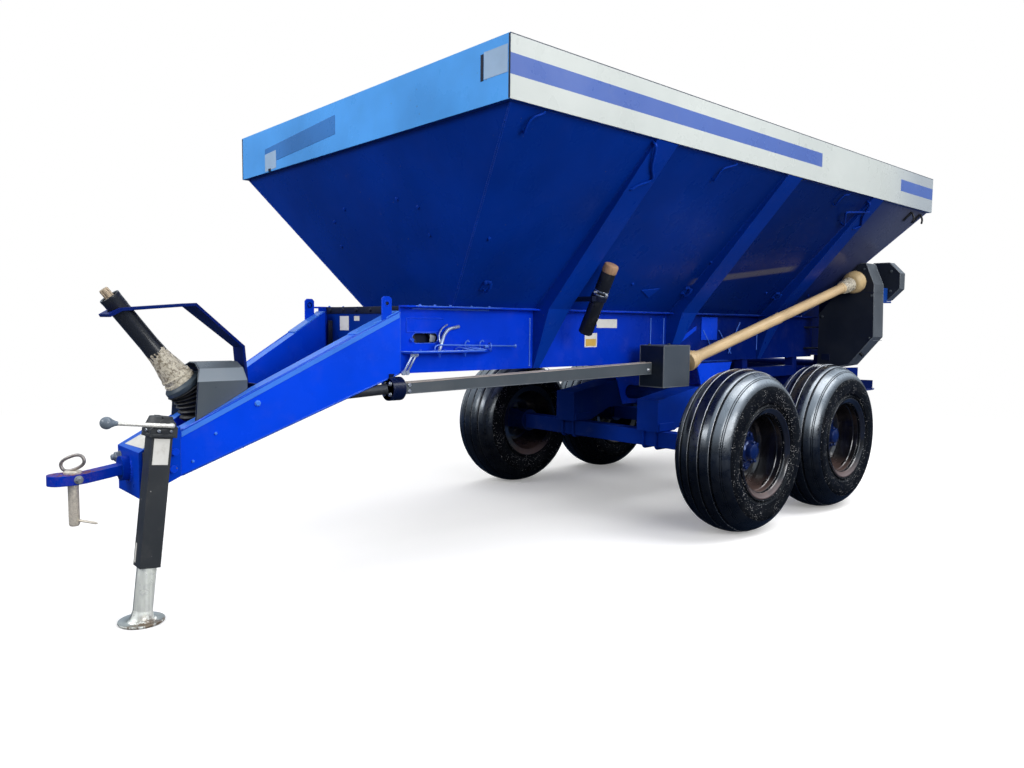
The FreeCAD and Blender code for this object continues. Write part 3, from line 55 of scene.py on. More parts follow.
# ------------------------------------------------------------------ materials
class Shader:
    """A short way to build a node tree round one Principled shader."""

    def __init__(self, name, **values):
        self.material = bpy.data.materials.new(name)
        self.material.use_nodes = True
        self.tree = self.material.node_tree
        self.main = self.tree.nodes["Principled BSDF"]
        for key, value in values.items():
            self.main.inputs[key.replace("_", " ")].default_value = value
        self.coords = self.add("ShaderNodeTexCoord").outputs["Object"]
        self.height = None

    def add(self, kind, **values):
        node = self.tree.nodes.new(kind)
        for key, value in values.items():
            setattr(node, key, value)
        return node

    def link(self, a, b):
        self.tree.links.new(a, b)

    def scaled(self, size):
        """Coordinates stretched by a factor on each axis."""
        node = self.add("ShaderNodeMapping")
        node.inputs["Scale"].default_value = size
        self.link(self.coords, node.inputs["Vector"])
        return node.outputs["Vector"]

    def noise(self, scale, detail=3.0, rough=0.55, vector=None, distortion=0.0):
        node = self.add("ShaderNodeTexNoise")
        node.inputs["Scale"].default_value = scale
        node.inputs["Detail"].default_value = detail
        node.inputs["Roughness"].default_value = rough
        node.inputs["Distortion"].default_value = distortion
        self.link(vector or self.coords, node.inputs["Vector"])
        return node.outputs["Fac"]

    def cells(self, scale):
        node = self.add("ShaderNodeTexVoronoi")
        node.inputs["Scale"].default_value = scale
        self.link(self.coords, node.inputs["Vector"])
        return node

    def span(self, value, low, high, to_low=0.0, to_high=1.0):
        node = self.add("ShaderNodeMapRange", clamp=True, interpolation_type="SMOOTHSTEP")
        self.link(value, node.inputs["Value"])
        for key, number in (("From Min", low), ("From Max", high), ("To Min", to_low), ("To Max", to_high)):
            node.inputs[key].default_value = number
        return node.outputs["Result"]

    def math(self, operation, a, b=None):
        node = self.add("ShaderNodeMath", operation=operation, use_clamp=False)
        for i, value in enumerate((a, b)):
            if value is None:
                continue
            if isinstance(value, (int, float)):
                node.inputs[i].default_value = value
            else:
                self.link(value, node.inputs[i])
        return node.outputs[0]

    def times(self, a, b):
        return self.math("MULTIPLY", a, b)

    def mix(self, factor, a, b):
        node = self.add("ShaderNodeMix", data_type="RGBA")
        for socket, value in ((node.inputs[0], factor), (node.inputs[6], a), (node.inputs[7], b)):
            if isinstance(value, tuple):
                socket.default_value = (*value, 1.0)
            elif isinstance(value, (int, float)):
                socket.default_value = value
            else:
                self.link(value, socket)
        return node.outputs[2]

    def axis(self, name):
        node = self.add("ShaderNodeSeparateXYZ")
        self.link(self.coords, node.inputs[0])
        return node.outputs[name]

    def facing(self, name):
        """Part of the surface normal along X, Y or Z."""
        node = self.add("ShaderNodeSeparateXYZ")
        self.link(self.add("ShaderNodeNewGeometry").outputs["Normal"], node.inputs[0])
        return node.outputs[name]

    def edges(self, radius):
        """1 along outside edges, 0 elsewhere."""
        bevel = self.add("ShaderNodeBevel", samples=4)
        bevel.inputs["Radius"].default_value = radius
        geometry = self.add("ShaderNodeNewGeometry")
        dot = self.add("ShaderNodeVectorMath", operation="DOT_PRODUCT")
        self.link(bevel.outputs[0], dot.inputs[0])
        self.link(geometry.outputs["Normal"], dot.inputs[1])
        return self.span(dot.outputs["Value"], 0.985, 0.9)

    def bump(self, height, strength, distance, soft=0.0):
        """Adds a layer of bump; soft is the radius of the rounded edges."""
        node = self.add("ShaderNodeBump")
        node.inputs["Strength"].default_value = strength
        node.inputs["Distance"].default_value = distance
        self.link(height, node.inputs["Height"])
        if self.height is not None:
            self.link(self.height, node.inputs["Normal"])
        elif soft:
            bevel = self.add("ShaderNodeBevel", samples=4)
            bevel.inputs["Radius"].default_value = soft
            self.link(bevel.outputs[0], node.inputs["Normal"])
        self.height = node.outputs[0]

    def done(self, colour=None, rough=None, metal=None):
        for value, socket in ((colour, "Base Color"), (rough, "Roughness"), (metal, "Metallic")):
            if value is not None:
                self.link(value, self.main.inputs[socket])
        if self.height is not None:
            self.link(self.height, self.main.inputs["Normal"])
        return self.material


def shade(rgb, factor):
    return tuple(c * factor for c in rgb)


def by_place(axis, *span):
    """A 0 to 1 value that changes along X, Y or Z."""
    return lambda s: s.span(s.axis(axis), *span)


def by_facing(axis, *span):
    """A 0 to 1 value that changes as the surface turns toward X, Y or Z."""
    return lambda s: s.span(s.facing(axis), *span)


DUST = (0.42, 0.38, 0.33)


def enamel(name, rgb, rough=0.25, spec=0.35, coat=0.25, wave=0.0, dust=0.12, wear=0.5,
           chip=(0.1, 0.1, 0.11), tint=None, tones=(), matte=None):
    """Gloss enamel: slight tone drift, orange peel, dust on upper faces, lighter worn edges, a few chips.

    tones adds (where, colour) layers, in which where makes a 0 to 1 value from the shader.
    matte makes such a value too, and it takes the gloss off.
    """
    s = Shader(name, Specular_IOR_Level=spec, Coat_Weight=coat, Coat_Roughness=0.08)
    if tint:
        s.main.inputs["Specular Tint"].default_value = (*tint, 1.0)
    if matte:
        s.link(s.span(matte(s), 0.0, 1.0, spec, 0.0), s.main.inputs["Specular IOR Level"])
    drift = s.span(s.noise(1.7, 4.0), 0.3, 0.7)
    colour = s.mix(drift, shade(rgb, 0.82), shade(rgb, 1.12))
    for where, tone in tones:
        colour = s.mix(where(s), colour, tone)
    grime = s.span(s.noise(9.0, 6.0, 0.65), 0.48, 0.8)
    up = s.span(s.facing("Z"), 0.3, 0.95, 0.25, 1.0)
    haze = s.times(s.times(grime, up), dust)
    colour = s.mix(haze, colour, DUST)
    rim = s.times(s.edges(0.004), s.span(s.noise(14.0, 5.0, 0.7), 0.35, 0.62, 0.25, 1.0))
    colour = s.mix(s.times(rim, wear), colour, tuple(min(1.0, c * 1.6 + 0.035) for c in rgb))
    spots = s.span(s.noise(60.0, 2.0, 0.5), 0.74, 0.77)
    spots = s.times(spots, s.span(s.noise(4.0, 3.0), 0.5, 0.62))
    colour = s.mix(spots, colour, chip)
    rough_map = s.span(s.noise(5.0, 5.0, 0.6), 0.3, 0.75, rough * 0.75, rough * 1.35)
    rough_map = s.math("ADD", rough_map, s.times(haze, 0.8))
    if wave:
        s.bump(s.noise(1.3, 1.0), wave, 0.02, soft=0.003)
    s.bump(s.noise(210.0, 2.0), 0.05, 0.0012, soft=0.003)
    return s.done(colour, rough_map)


BLUE = (0.0016, 0.05, 0.66)
NAVY = (0.0008, 0.028, 0.27)
BLUE_SHINE = (0.16, 0.34, 1.0)
SHEET_GREY = (0.075, 0.09, 0.105)
GREY_CHIP = (0.2, 0.2, 0.2)
PALE_CHIP = (0.3, 0.3, 0.3)
# Upward faces painted paler: a painted highlight.
TOP_HIGHLIGHT = by_facing("Z", 0.5, 0.85, 0.0, 0.85)
# Downward faces of the band, its folded lower lip, painted dark navy: painted shade.
SHADED_LIP = by_facing("Z", -0.6, -0.85)      # the band's folded lower lip
SHADED_LIP_BLUE = (0.006, 0.035, 0.22)


def outer_side(s, value):
    """Keeps a 0 to 1 value on the hopper's outer side faces, which lean outward and so face down."""
    sideways = s.math("GREATER_THAN", s.math("ABSOLUTE", s.facing("X")), 0.4)
    return s.times(s.times(sideways, s.math("LESS_THAN", s.facing("Z"), 0.0)), value)


def rear_shade(s):
    """Painted shade: the sides darken from the first rib rearward."""
    return outer_side(s, s.span(s.axis("Y"), -0.4, 1.1, 0.0, 0.72))


def rear_corner_reflection(s):
    """Where the hopper's sides fade to grey, high up by the rear corners: a painted reflection."""
    return outer_side(s, s.times(s.span(s.axis("Y"), 1.25, 2.15), s.span(s.axis("Z"), 1.2, 1.75)))


def side_gleam(s):
    """A painted reflection: a pale gleam that climbs gently rearward between the second and third ribs."""
    y, z = s.axis("Y"), s.axis("Z")
    middle = s.math("ADD", s.times(s.math("SUBTRACT", y, 0.46), 0.13), 1.338)
    off = s.math("ABSOLUTE", s.math("SUBTRACT", z, middle))
    ends = s.times(s.span(y, 0.36, 0.46), s.span(y, 1.36, 1.26))
    return outer_side(s, s.times(s.times(s.span(off, 0.024, 0.01), ends), 0.8))


def blue_enamel(name, rgb, **finish):
    """Blue enamel, whose gloss is blue too."""
    return enamel(name, rgb, tint=BLUE_SHINE, **finish)


machine_blue = blue_enamel("machine_blue", BLUE, rough=0.28, spec=0.2, coat=0.015)
# rail_blue darkens rearward along Y: painted shade under the hopper. Its gloss fades there too.
rail_blue = blue_enamel("rail_blue", (0.0012, 0.042, 0.65), rough=0.28, spec=0.16, coat=0.01,
                        tones=[(by_place("Y", -0.8, 1.1, 0.0, 0.95), (0.0005, 0.008, 0.1))],
                        matte=by_place("Y", 0.1, 1.4, 0.0, 0.85))
beam_blue = blue_enamel("beam_blue", (0.0014, 0.058, 0.8), rough=0.28, spec=0.2, coat=0.015,
                        tones=[(TOP_HIGHLIGHT, (0.06, 0.23, 0.85))])
# far_blue darkens toward -X, the machine's far side: painted shade. Its gloss fades there too.
far_blue = blue_enamel("far_blue", (0.0045, 0.05, 0.5), rough=0.45, spec=0.1, coat=0.0, dust=0.1, wear=0.25,
                       tones=[(by_place("X", 0.15, -0.15, 0.0, 0.92), (0.003, 0.014, 0.1))],
                       matte=by_place("X", 0.2, -0.1))
hopper_blue = blue_enamel("hopper_blue", NAVY, rough=0.3, spec=0.15, coat=0.01, wave=0.1, dust=0.02,
                          tones=[(rear_shade, (0.0004, 0.006, 0.06)),
                                 (rear_corner_reflection, (0.085, 0.095, 0.155)), (side_gleam, (0.11, 0.105, 0.135))])
# rib_blue darkens rearward along Y: painted shade.
rib_blue = blue_enamel("rib_blue", (0.0012, 0.034, 0.33), rough=0.32, spec=0.12, coat=0.005, dust=0.03,
                       wear=0.3, tones=[(by_place("Y", 0.0, 1.6, 0.0, 0.45), (0.0004, 0.006, 0.065))])
hub_blue = enamel("hub_blue", (0.002, 0.011, 0.075), rough=0.2, spec=0.5, coat=0.15, dust=0.1,
                  tint=(0.4, 0.55, 1.0))
# rear_navy is a near-black navy for the tail plates: painted shade at the rails' rear.
rear_navy = blue_enamel("rear_navy", (0.0006, 0.007, 0.08), rough=0.45, spec=0.05, coat=0.0, dust=0.05,
                        wear=0.2)
nose_blue = blue_enamel("nose_blue", (0.0012, 0.045, 0.52), rough=0.34, spec=0.05, coat=0.0, dust=0.08,
                        tones=[(TOP_HIGHLIGHT, (0.02, 0.12, 0.62))])
# under_blue is the machine blue made much darker for the parts underneath: painted shade.
under_blue = blue_enamel("under_blue", (0.0009, 0.01, 0.13), rough=0.4, spec=0.12, coat=0.0, dust=0.12,
                         wear=0.3)
guard_grey = enamel("guard_grey", (0.044, 0.056, 0.07), rough=0.38, spec=0.3, coat=0.03, dust=0.1,
                    wear=0.3, chip=GREY_CHIP)
# joint_grey paints its faces toward -Y near black: painted shade.
joint_grey = enamel("joint_grey", (0.066, 0.082, 0.104), rough=0.38, spec=0.3, coat=0.03, dust=0.1,
                    wear=0.3, chip=GREY_CHIP, tones=[(by_facing("Y", -0.5, -0.9), (0.008, 0.013, 0.022))])
# hood_grey paints faces that tilt partly up paler, a painted highlight, and the flat top darker, a painted shade.
hood_grey = enamel("hood_grey", (0.07, 0.088, 0.105), rough=0.34, spec=0.35, coat=0.05, dust=0.1,
                   wear=0.6, chip=GREY_CHIP, tones=[(by_facing("Z", 0.25, 0.4, 0.0, 1.0),
                                                     (0.17, 0.205, 0.24)),
                                                    (by_facing("Z", 0.9, 0.97, 0.0, 1.0),
                                                     (0.03, 0.038, 0.046))])
dark_sheet = enamel("dark_sheet", SHEET_GREY, rough=0.36, spec=0.35, coat=0.05, dust=0.2, wear=0.35,
                    chip=PALE_CHIP)
jack_paint = enamel("jack_paint", (0.032, 0.036, 0.041), rough=0.42, spec=0.25, coat=0.0, dust=0.25,
                    wear=0.5, chip=PALE_CHIP)
band_sky = enamel("band_sky", (0.082, 0.38, 0.95), rough=0.3, spec=0.25, coat=0.03, dust=0.02, wear=0.2,
                  tint=(0.4, 0.7, 1.0), tones=[(SHADED_LIP, SHADED_LIP_BLUE)])


def case_material():
    """Black-grey guards: the flat faces near black; the narrow sideways edge strips painted a lighter grey, a
    painted reflection.
    """
    s = Shader("case_paint", Specular_IOR_Level=0.22)
    # Painted reflection: faces that do not face along Y are painted lighter grey.
    strip = s.span(s.math("ABSOLUTE", s.facing("Y")), 0.75, 0.85, 1.0, 0.0)
    colour = s.mix(strip, (0.011, 0.015, 0.026), (0.085, 0.098, 0.115))
    drift = s.times(s.span(s.noise(5.0, 5.0), 0.35, 0.75), 0.35)
    colour = s.mix(drift, colour, (0.03, 0.036, 0.046))
    worn = s.times(s.edges(0.004), s.span(s.noise(20.0, 5.0, 0.7), 0.35, 0.6, 0.3, 1.0))
    colour = s.mix(s.times(worn, 0.5), colour, (0.16, 0.17, 0.18))
    rough = s.span(s.noise(7.0, 5.0), 0.3, 0.7, 0.3, 0.5)
    s.bump(s.noise(1.8, 1.0), 0.15, 0.01, soft=0.003)
    s.bump(s.noise(210.0, 2.0), 0.05, 0.0012)
    return s.done(colour, rough)


case_paint = case_material()


GAP_FROM, GAP_TO = 0.763, 1.792   # bare stretch of the side stripe


def band_white_material():
    """Off-white band with a plain blue stripe half way up, broken once near the rear."""
    low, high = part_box("hopper_rim_sides")
    s = Shader("band_white", Specular_IOR_Level=0.4, Coat_Weight=0.25)
    z = s.axis("Z")
    y = s.axis("Y")
    tall = high.z - low.z
    inside = s.times(s.math("GREATER_THAN", z, low.z + 0.375 * tall),
                    s.math("LESS_THAN", z, low.z + 0.7 * tall))
    gap = s.times(s.math("GREATER_THAN", y, GAP_FROM), s.math("LESS_THAN", y, GAP_TO))
    side = s.math("GREATER_THAN", s.math("ABSOLUTE", s.axis("X")), high.x - 0.002)
    stripe = s.times(s.times(inside, s.math("SUBTRACT", 1.0, gap)), side)
    drift = s.span(s.noise(1.1, 4.0), 0.3, 0.7)
    white = s.mix(drift, (0.44, 0.475, 0.465), (0.52, 0.555, 0.54))
    # The white greys toward the rear: painted shade.
    white = s.mix(s.span(y, 1.45, 2.15, 0.0, 0.9), white, (0.3, 0.34, 0.38))
    blue = s.mix(drift, (0.05, 0.1, 0.34), (0.065, 0.125, 0.39))
    colour = s.mix(stripe, white, blue)
    grime = s.times(s.span(s.noise(6.0, 7.0, 0.7), 0.5, 0.8), 0.07)
    colour = s.mix(grime, colour, (0.36, 0.35, 0.3))
    # Painted shade: the lip's downward faces turn dark navy.
    colour = s.mix(SHADED_LIP(s), colour, SHADED_LIP_BLUE)
    edge = s.math("GREATER_THAN", z, high.z - 0.004)
    colour = s.mix(edge, colour, (0.02, 0.025, 0.05))
    rough = s.span(s.noise(5.0, 5.0, 0.6), 0.3, 0.75, 0.25, 0.42)
    s.bump(s.noise(1.6, 1.0), 0.2, 0.02, soft=0.003)
    s.bump(s.noise(210.0, 2.0), 0.04, 0.001)
    return s.done(colour, rough)


band_white = band_white_material()


def steel(name, rgb, rough=0.35, metal=0.9, rust=0.2):
    """Bare metal with rust spots; rust is their share."""
    s = Shader(name, Specular_IOR_Level=0.5)
    grain = s.noise(90.0, 4.0, 0.7)
    colour = s.mix(s.span(grain, 0.3, 0.7), shade(rgb, 0.75), shade(rgb, 1.1))
    spots = s.span(s.noise(22.0, 6.0, 0.7), 0.66 - rust * 0.3, 0.78)
    spots = s.times(spots, min(1.0, rust * 3))
    colour = s.mix(spots, colour, (0.2, 0.075, 0.03))
    rough_map = s.math("ADD", s.span(grain, 0.3, 0.7, rough * 0.8, rough * 1.3), s.times(spots, 0.35))
    metal_map = s.span(spots, 0.0, 1.0, metal, 0.15)
    s.bump(grain, 0.12, 0.0006, soft=0.0015)
    return s.done(colour, rough_map, metal_map)


bare_steel = steel("bare_steel", (0.76, 0.69, 0.58), rough=0.4, metal=0.35, rust=0.22)
ring_steel = steel("ring_steel", (0.3, 0.27, 0.25), rough=0.35, metal=0.6, rust=0.3)
bright_steel = steel("bright_steel", (0.62, 0.63, 0.64), rough=0.28, rust=0.03)
machined_steel = steel("machined_steel", (0.42, 0.42, 0.42), rough=0.32, rust=0.12)


def zinc_material():
    """Hot-dip galvanised: spangled grey with dull streaks down it, muddy on the foot's left rear, and painted
    shade on the faces turned from +X and low on the foot's right.
    """
    s = Shader("zinc", Specular_IOR_Level=0.5)
    spangle = s.cells(120.0)
    tone = s.span(spangle.outputs["Color"], 0.0, 1.0)
    colour = s.mix(tone, (0.9, 0.94, 0.88), (0.98, 1.0, 0.95))
    streak = s.span(s.noise(30.0, 5.0, 0.6, vector=s.scaled((2.0, 2.0, 0.12))), 0.46, 0.62)
    colour = s.mix(s.times(streak, 0.28), colour, (0.42, 0.45, 0.38))
    # Painted shade: faces turned away from +X are darker.
    colour = s.mix(s.span(s.facing("X"), 0.32, -0.1, 0.0, 0.88), colour, (0.13, 0.16, 0.17))
    low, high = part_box("jack_leg")
    middle = (low.x + high.x) / 2
    # Painted shadow low on the foot's right side.
    shaded = s.times(s.span(s.axis("X"), middle - 0.005, low.x + 0.03, 0.0, 0.7),
                     s.span(s.axis("Z"), 0.045, 0.025))
    colour = s.mix(shaded, colour, (0.22, 0.26, 0.29))
    mud = s.times(s.span(s.axis("X"), middle + 0.018, high.x - 0.03), s.span(s.axis("Z"), 0.045, 0.025))
    mud = s.times(mud, s.span(s.noise(55.0, 6.0, 0.7), 0.36, 0.52))
    colour = s.mix(mud, colour, (0.17, 0.125, 0.085))
    rough = s.span(s.noise(16.0, 4.0), 0.3, 0.7, 0.26, 0.42)
    s.bump(s.noise(70.0, 3.0), 0.15, 0.0008, soft=0.0015)
    return s.done(colour, rough, s.span(tone, 0.0, 1.0, 0.22, 0.42))


zinc = zinc_material()


def plastic(name, rgb, rough=0.45, spec=0.4, mottle=0.25, dirt=(0.3, 0.26, 0.2), dirty=0.3):
    """Plastic, rubber or paper: mottled, with patches of dirt."""
    s = Shader(name, Specular_IOR_Level=spec)
    colour = s.mix(s.span(s.noise(7.0, 5.0), 0.3, 0.7), shade(rgb, 1.0 - mottle),
                   shade(rgb, 1.0 + mottle * 0.4))
    patches = s.times(s.span(s.noise(18.0, 7.0, 0.7), 0.52, 0.78), dirty)
    colour = s.mix(patches, colour, dirt)
    rough_map = s.math("ADD", s.span(s.noise(11.0, 4.0), 0.3, 0.7, rough * 0.8, rough * 1.2),
                       s.times(patches, 0.3))
    s.bump(s.noise(160.0, 3.0), 0.12, 0.0008, soft=0.002)
    return s.done(colour, rough_map)


beige_plastic = plastic("beige_plastic", (0.6, 0.43, 0.25), rough=0.42, mottle=0.2, dirt=(0.34, 0.26, 0.17))
black_plastic = plastic("black_plastic", (0.01, 0.011, 0.015), rough=0.3, mottle=0.3,
                        dirt=(0.1, 0.095, 0.09), dirty=0.35)
black_rubber = plastic("black_rubber", (0.013, 0.013, 0.014), rough=0.5, mottle=0.2,
                       dirt=(0.09, 0.085, 0.08), dirty=0.35)


def tyre_material(name, spec, speckle, smooth, coat, sheen):
    """Black rubber; the tread and shoulder are dressed and shine, the wall is duller and speckled; the upper
    shoulders are greyed by a painted highlight.
    """
    s = Shader(name, Specular_Tint=(0.8, 0.9, 1.0, 1.0), Coat_Roughness=0.22)
    for share, socket in ((spec, "Specular IOR Level"), (coat, "Coat Weight")):
        if not share:
            continue
        s.link(s.span(s.facing("Z"), -0.35, 0.3, share * 0.22, share), s.main.inputs[socket])
    colour = s.mix(s.span(s.noise(12.0, 5.0), 0.3, 0.7), (0.002, 0.0025, 0.004), (0.005, 0.006, 0.008))
    grains = s.cells(120.0)
    speck = s.times(s.span(grains.outputs["Distance"], 0.2, 0.26, 1.0, 0.0),
                    s.span(grains.outputs["Color"], 0.42, 0.52))
    speck = s.times(speck, s.span(s.noise(16.0, 3.0), 0.42, 0.58, 0.15, 1.0))
    colour = s.mix(s.times(speck, speckle), colour, (0.46, 0.46, 0.47))
    # Painted highlight: sheen greys the upper shoulders.
    if sheen:
        outward = s.math("ABSOLUTE", s.facing("X"))
        shoulder = s.times(s.span(outward, 0.25, 0.5), s.span(outward, 0.93, 0.78))
        shoulder = s.times(shoulder, s.span(s.facing("Z"), 0.05, 0.65))
        colour = s.mix(s.times(shoulder, sheen), colour, (0.2, 0.24, 0.28))
    dust = s.times(s.span(s.noise(7.0, 7.0, 0.7), 0.5, 0.85), 0.04)
    colour = s.mix(dust, colour, (0.2, 0.17, 0.14))
    rough = s.span(s.noise(24.0, 5.0, 0.65), 0.3, 0.7, smooth, smooth + 0.22)
    s.bump(s.noise(260.0, 3.0, 0.6), 0.1, 0.0008)
    s.bump(s.noise(30.0, 2.0), 0.03, 0.0012)
    return s.done(colour, rough)


tyre_rubber = tyre_material("tyre", 1.0, 0.02, 0.21, 0.95, 0.6)
wall_rubber = tyre_material("tyre_wall", 0.1, 0.9, 0.34, 0.0, 0.0)


def groove_material():
    """The tread grooves' lips, painted pale on their upward faces as a highlight."""
    s = Shader("tread_lips", Specular_IOR_Level=0.9, Coat_Weight=0.5, Coat_Roughness=0.15)
    # Painted highlight on the lips' upward faces.
    lit_lip = s.times(s.span(s.facing("Z"), -0.2, 0.5), s.span(s.noise(7.0, 3.0), 0.3, 0.55, 0.45, 1.0))
    colour = s.mix(lit_lip, (0.004, 0.005, 0.007), (0.56, 0.6, 0.66))
    s.bump(s.noise(200.0, 2.0), 0.05, 0.0006)
    return s.done(colour, s.span(lit_lip, 0.0, 1.0, 0.4, 0.2))


tread_lips = groove_material()


def rim_material():
    """Near-black gloss enamel; reddish road dust lies in the lower part of the barrel."""
    s = Shader("rim_black", Specular_IOR_Level=0.75, Coat_Weight=0.5, Coat_Roughness=0.08)
    colour = s.mix(s.span(s.noise(10.0, 5.0), 0.3, 0.7), (0.003, 0.003, 0.004), (0.008, 0.007, 0.008))
    low = s.span(s.axis("Z"), 0.215, 0.3, 1.0, 0.0)
    dust = s.times(s.span(s.noise(9.0, 4.0, 0.6), 0.25, 0.6, 0.45, 1.0), low)
    colour = s.mix(s.times(dust, 0.75), colour, (0.13, 0.08, 0.07))
    rough = s.math("ADD", s.span(s.noise(14.0, 4.0), 0.3, 0.7, 0.14, 0.26), s.times(dust, 0.22))
    s.bump(s.noise(120.0, 3.0), 0.1, 0.0008, soft=0.002)
    return s.done(colour, rough)


rim_black = rim_material()
disc_steel = enamel("disc_steel", (0.002, 0.011, 0.1), rough=0.38, spec=0.15, coat=0.0, dust=0.3,
                    wear=0.8, chip=(0.35, 0.33, 0.3))

SLOT_MATERIAL = {
    "machine_blue": machine_blue, "hopper_blue": hopper_blue, "band_white": band_white, "band_sky": band_sky,
    "bare_steel": bare_steel, "zinc": zinc, "dark_sheet": dark_sheet, "beige_plastic": beige_plastic,
    "black_plastic": black_plastic, "black_rubber": black_rubber, "machined_steel": machined_steel,
    "disc_steel": disc_steel, "tyre": tyre_rubber, "rim_black": rim_black,
}
for row in frame["record"]["subparts"]:
    node = NODES[row["node"]]
    node.data.materials.clear()
    node.data.materials.append(SLOT_MATERIAL[row["material_slot"]])


def finish_nodes(finishes):
    """Gives each named node a finish of its own in place of its slot's."""
    for name, finish in finishes.items():
        NODES[name].data.materials[0] = finish


finish_nodes({
    "side_ribs": rib_blue, "joint_guard": joint_grey, "input_hood": hood_grey, "chassis_rails": rail_blue,
    "drawbar_beams": beam_blue, "drawbar_nose": nose_blue, "pivot_hangers": beam_blue,
    "chain_case": case_paint, "sprocket_guard": case_paint, "jack_housing": jack_paint,
    "axles": far_blue, "walking_beams": far_blue, "pivot_shaft": far_blue, "pto_support_arm": under_blue,
    "spinner_frame": under_blue, "spinner_shield": under_blue, "spinner_gearboxes": under_blue,
    "chassis_cross_members": hopper_blue,
})


# ------------------------------------------------------------------ mesh helpers
def frame_of(axis):
    """Two directions square to an axis."""
    axis = Vector(axis).normalized()
    side = axis.cross(Z_AXIS)
    if side.length < 1e-4:
        side = axis.cross(X_AXIS)
    side.normalize()
    return side, side.cross(axis).normalized()


def loft(bm, rings, wrap=False, cap=True):
    """Skin between rings of points; wrap joins the last ring to the first."""
    made = [[bm.verts.new(p) for p in ring] for ring in rings]
    count = len(made[0])
    pairs = list(zip(made, made[1:])) + ([(made[-1], made[0])] if wrap else [])
    for a, b in pairs:
        for i in range(count):
            j = (i + 1) % count
            bm.faces.new((a[i], a[j], b[j], b[i]))
    if cap and not wrap:
        bm.faces.new(list(reversed(made[0])))
        bm.faces.new(made[-1])


def turns(count, phase=0.0):
    """Cosine and sine at even steps round a circle; phase is a share of a step."""
    angles = [math.tau * (i + phase) / count for i in range(count)]
    return [(math.cos(t), math.sin(t)) for t in angles]


def circle(centre, axis, radius, count):
    a, b = frame_of(axis)
    return [Vector(centre) + a * (radius * c) + b * (radius * n) for c, n in turns(count)]


def lathe(bm, profile, origin, axis, count=32, wrap=False):
    """Turn (along, radius) points about an axis; wrap closes the outline into a ring."""
    axis = Vector(axis).normalized()
    rings = [circle(Vector(origin) + axis * along, axis, max(radius, 1e-5), count) for along,
             radius in profile]
    loft(bm, rings, wrap=wrap, cap=not wrap)


ARC_STEPS = 5


def rounded(points, radius):
    """The polyline with its inside corners turned into arcs."""
    points = [Vector(p) for p in points]
    out = [points[0]]
    for before, here, after in zip(points, points[1:], points[2:]):
        a, b = before - here, after - here
        cut = min(radius, a.length * 0.45, b.length * 0.45)
        start, end = here + a.normalized() * cut, here + b.normalized() * cut
        for i in range(ARC_STEPS + 1):
            t = i / ARC_STEPS
            out.append(start * (1 - t) ** 2 + here * (2 * t * (1 - t)) + end * t ** 2)
    out.append(points[-1])
    return out


def tube(bm, points, radius, count=10, wrap=False, ends=True, radii=None):
    """A round bar along points, carried without twist; its ends are rounded over."""
    points = [Vector(p) for p in points]
    last = len(points) - 1
    rings = []
    side = None
    for i, point in enumerate(points):
        if wrap:
            tangent = points[(i + 1) % (last + 1)] - points[i - 1]
        else:
            tangent = points[min(i + 1, last)] - points[max(i - 1, 0)]
        tangent.normalize()
        side = frame_of(tangent)[0] if side is None else (side - tangent * side.dot(tangent)).normalized()
        other = tangent.cross(side)
        r = radii[i] if radii else radius
        rings.append((point, tangent, [side * c + other * n for c, n in turns(count)], r))
    full = [[p + d * r for d in dirs] for p, _, dirs, r in rings]
    if ends and not wrap:
        for where, sign in ((0, -1), (-1, 1)):
            p, tangent, dirs, r = rings[where]
            domes = [[p + tangent * (sign * r * 0.5 * math.sin(t)) + d * (r * math.cos(t)) for d in dirs]
                     for t in (0.6, 1.1)]
            full = full + domes if sign > 0 else domes[::-1] + full
    loft(bm, full, wrap=wrap)


def slab(bm, corners, push, bevel=0.0, segments=2):
    """A plate from its outline, with its edges rounded."""
    part = bmesh.new()
    push = Vector(push)
    low = [part.verts.new(Vector(p)) for p in corners]
    high = [part.verts.new(Vector(p) + push) for p in corners]
    part.faces.new(list(reversed(low)))
    part.faces.new(high)
    for i in range(len(low)):
        j = (i + 1) % len(low)
        part.faces.new((low[i], low[j], high[j], high[i]))
    bmesh.ops.recalc_face_normals(part, faces=part.faces)
    if bevel:
        bmesh.ops.bevel(part, geom=part.edges[:], offset=bevel, segments=segments, profile=0.6,
                        affect="EDGES", clamp_overlap=True)
    merge(bm, part)


def block(bm, low, high):
    """A box with slightly rounded edges."""
    x0, y0, z0 = low
    x1, y1, z1 = high
    slab(bm, [(x0, y0, z0), (x1, y0, z0), (x1, y1, z0), (x0, y1, z0)], (0, 0, z1 - z0), 0.001)


def plate_x(bm, x, ys, zs, thick, bevel):
    """An upright rectangular plate square to X."""
    (y0, y1), (z0, z1) = ys, zs
    slab(bm, [(x, y0, z0), (x, y1, z0), (x, y1, z1), (x, y0, z1)], (thick, 0, 0), bevel, 1)


def plate_y(bm, y, xs, zs, thick, bevel):
    """An upright rectangular plate square to Y."""
    (x0, x1), (z0, z1) = xs, zs
    slab(bm, [(x0, y, z0), (x1, y, z0), (x1, y, z1), (x0, y, z1)], (0, thick, 0), bevel, 1)


def merge(bm, part):
    """Adds a part's faces to bm and drops the part."""
    mesh = bpy.data.meshes.new("part")
    part.to_mesh(mesh)
    part.free()
    bm.from_mesh(mesh)
    bpy.data.meshes.remove(mesh)


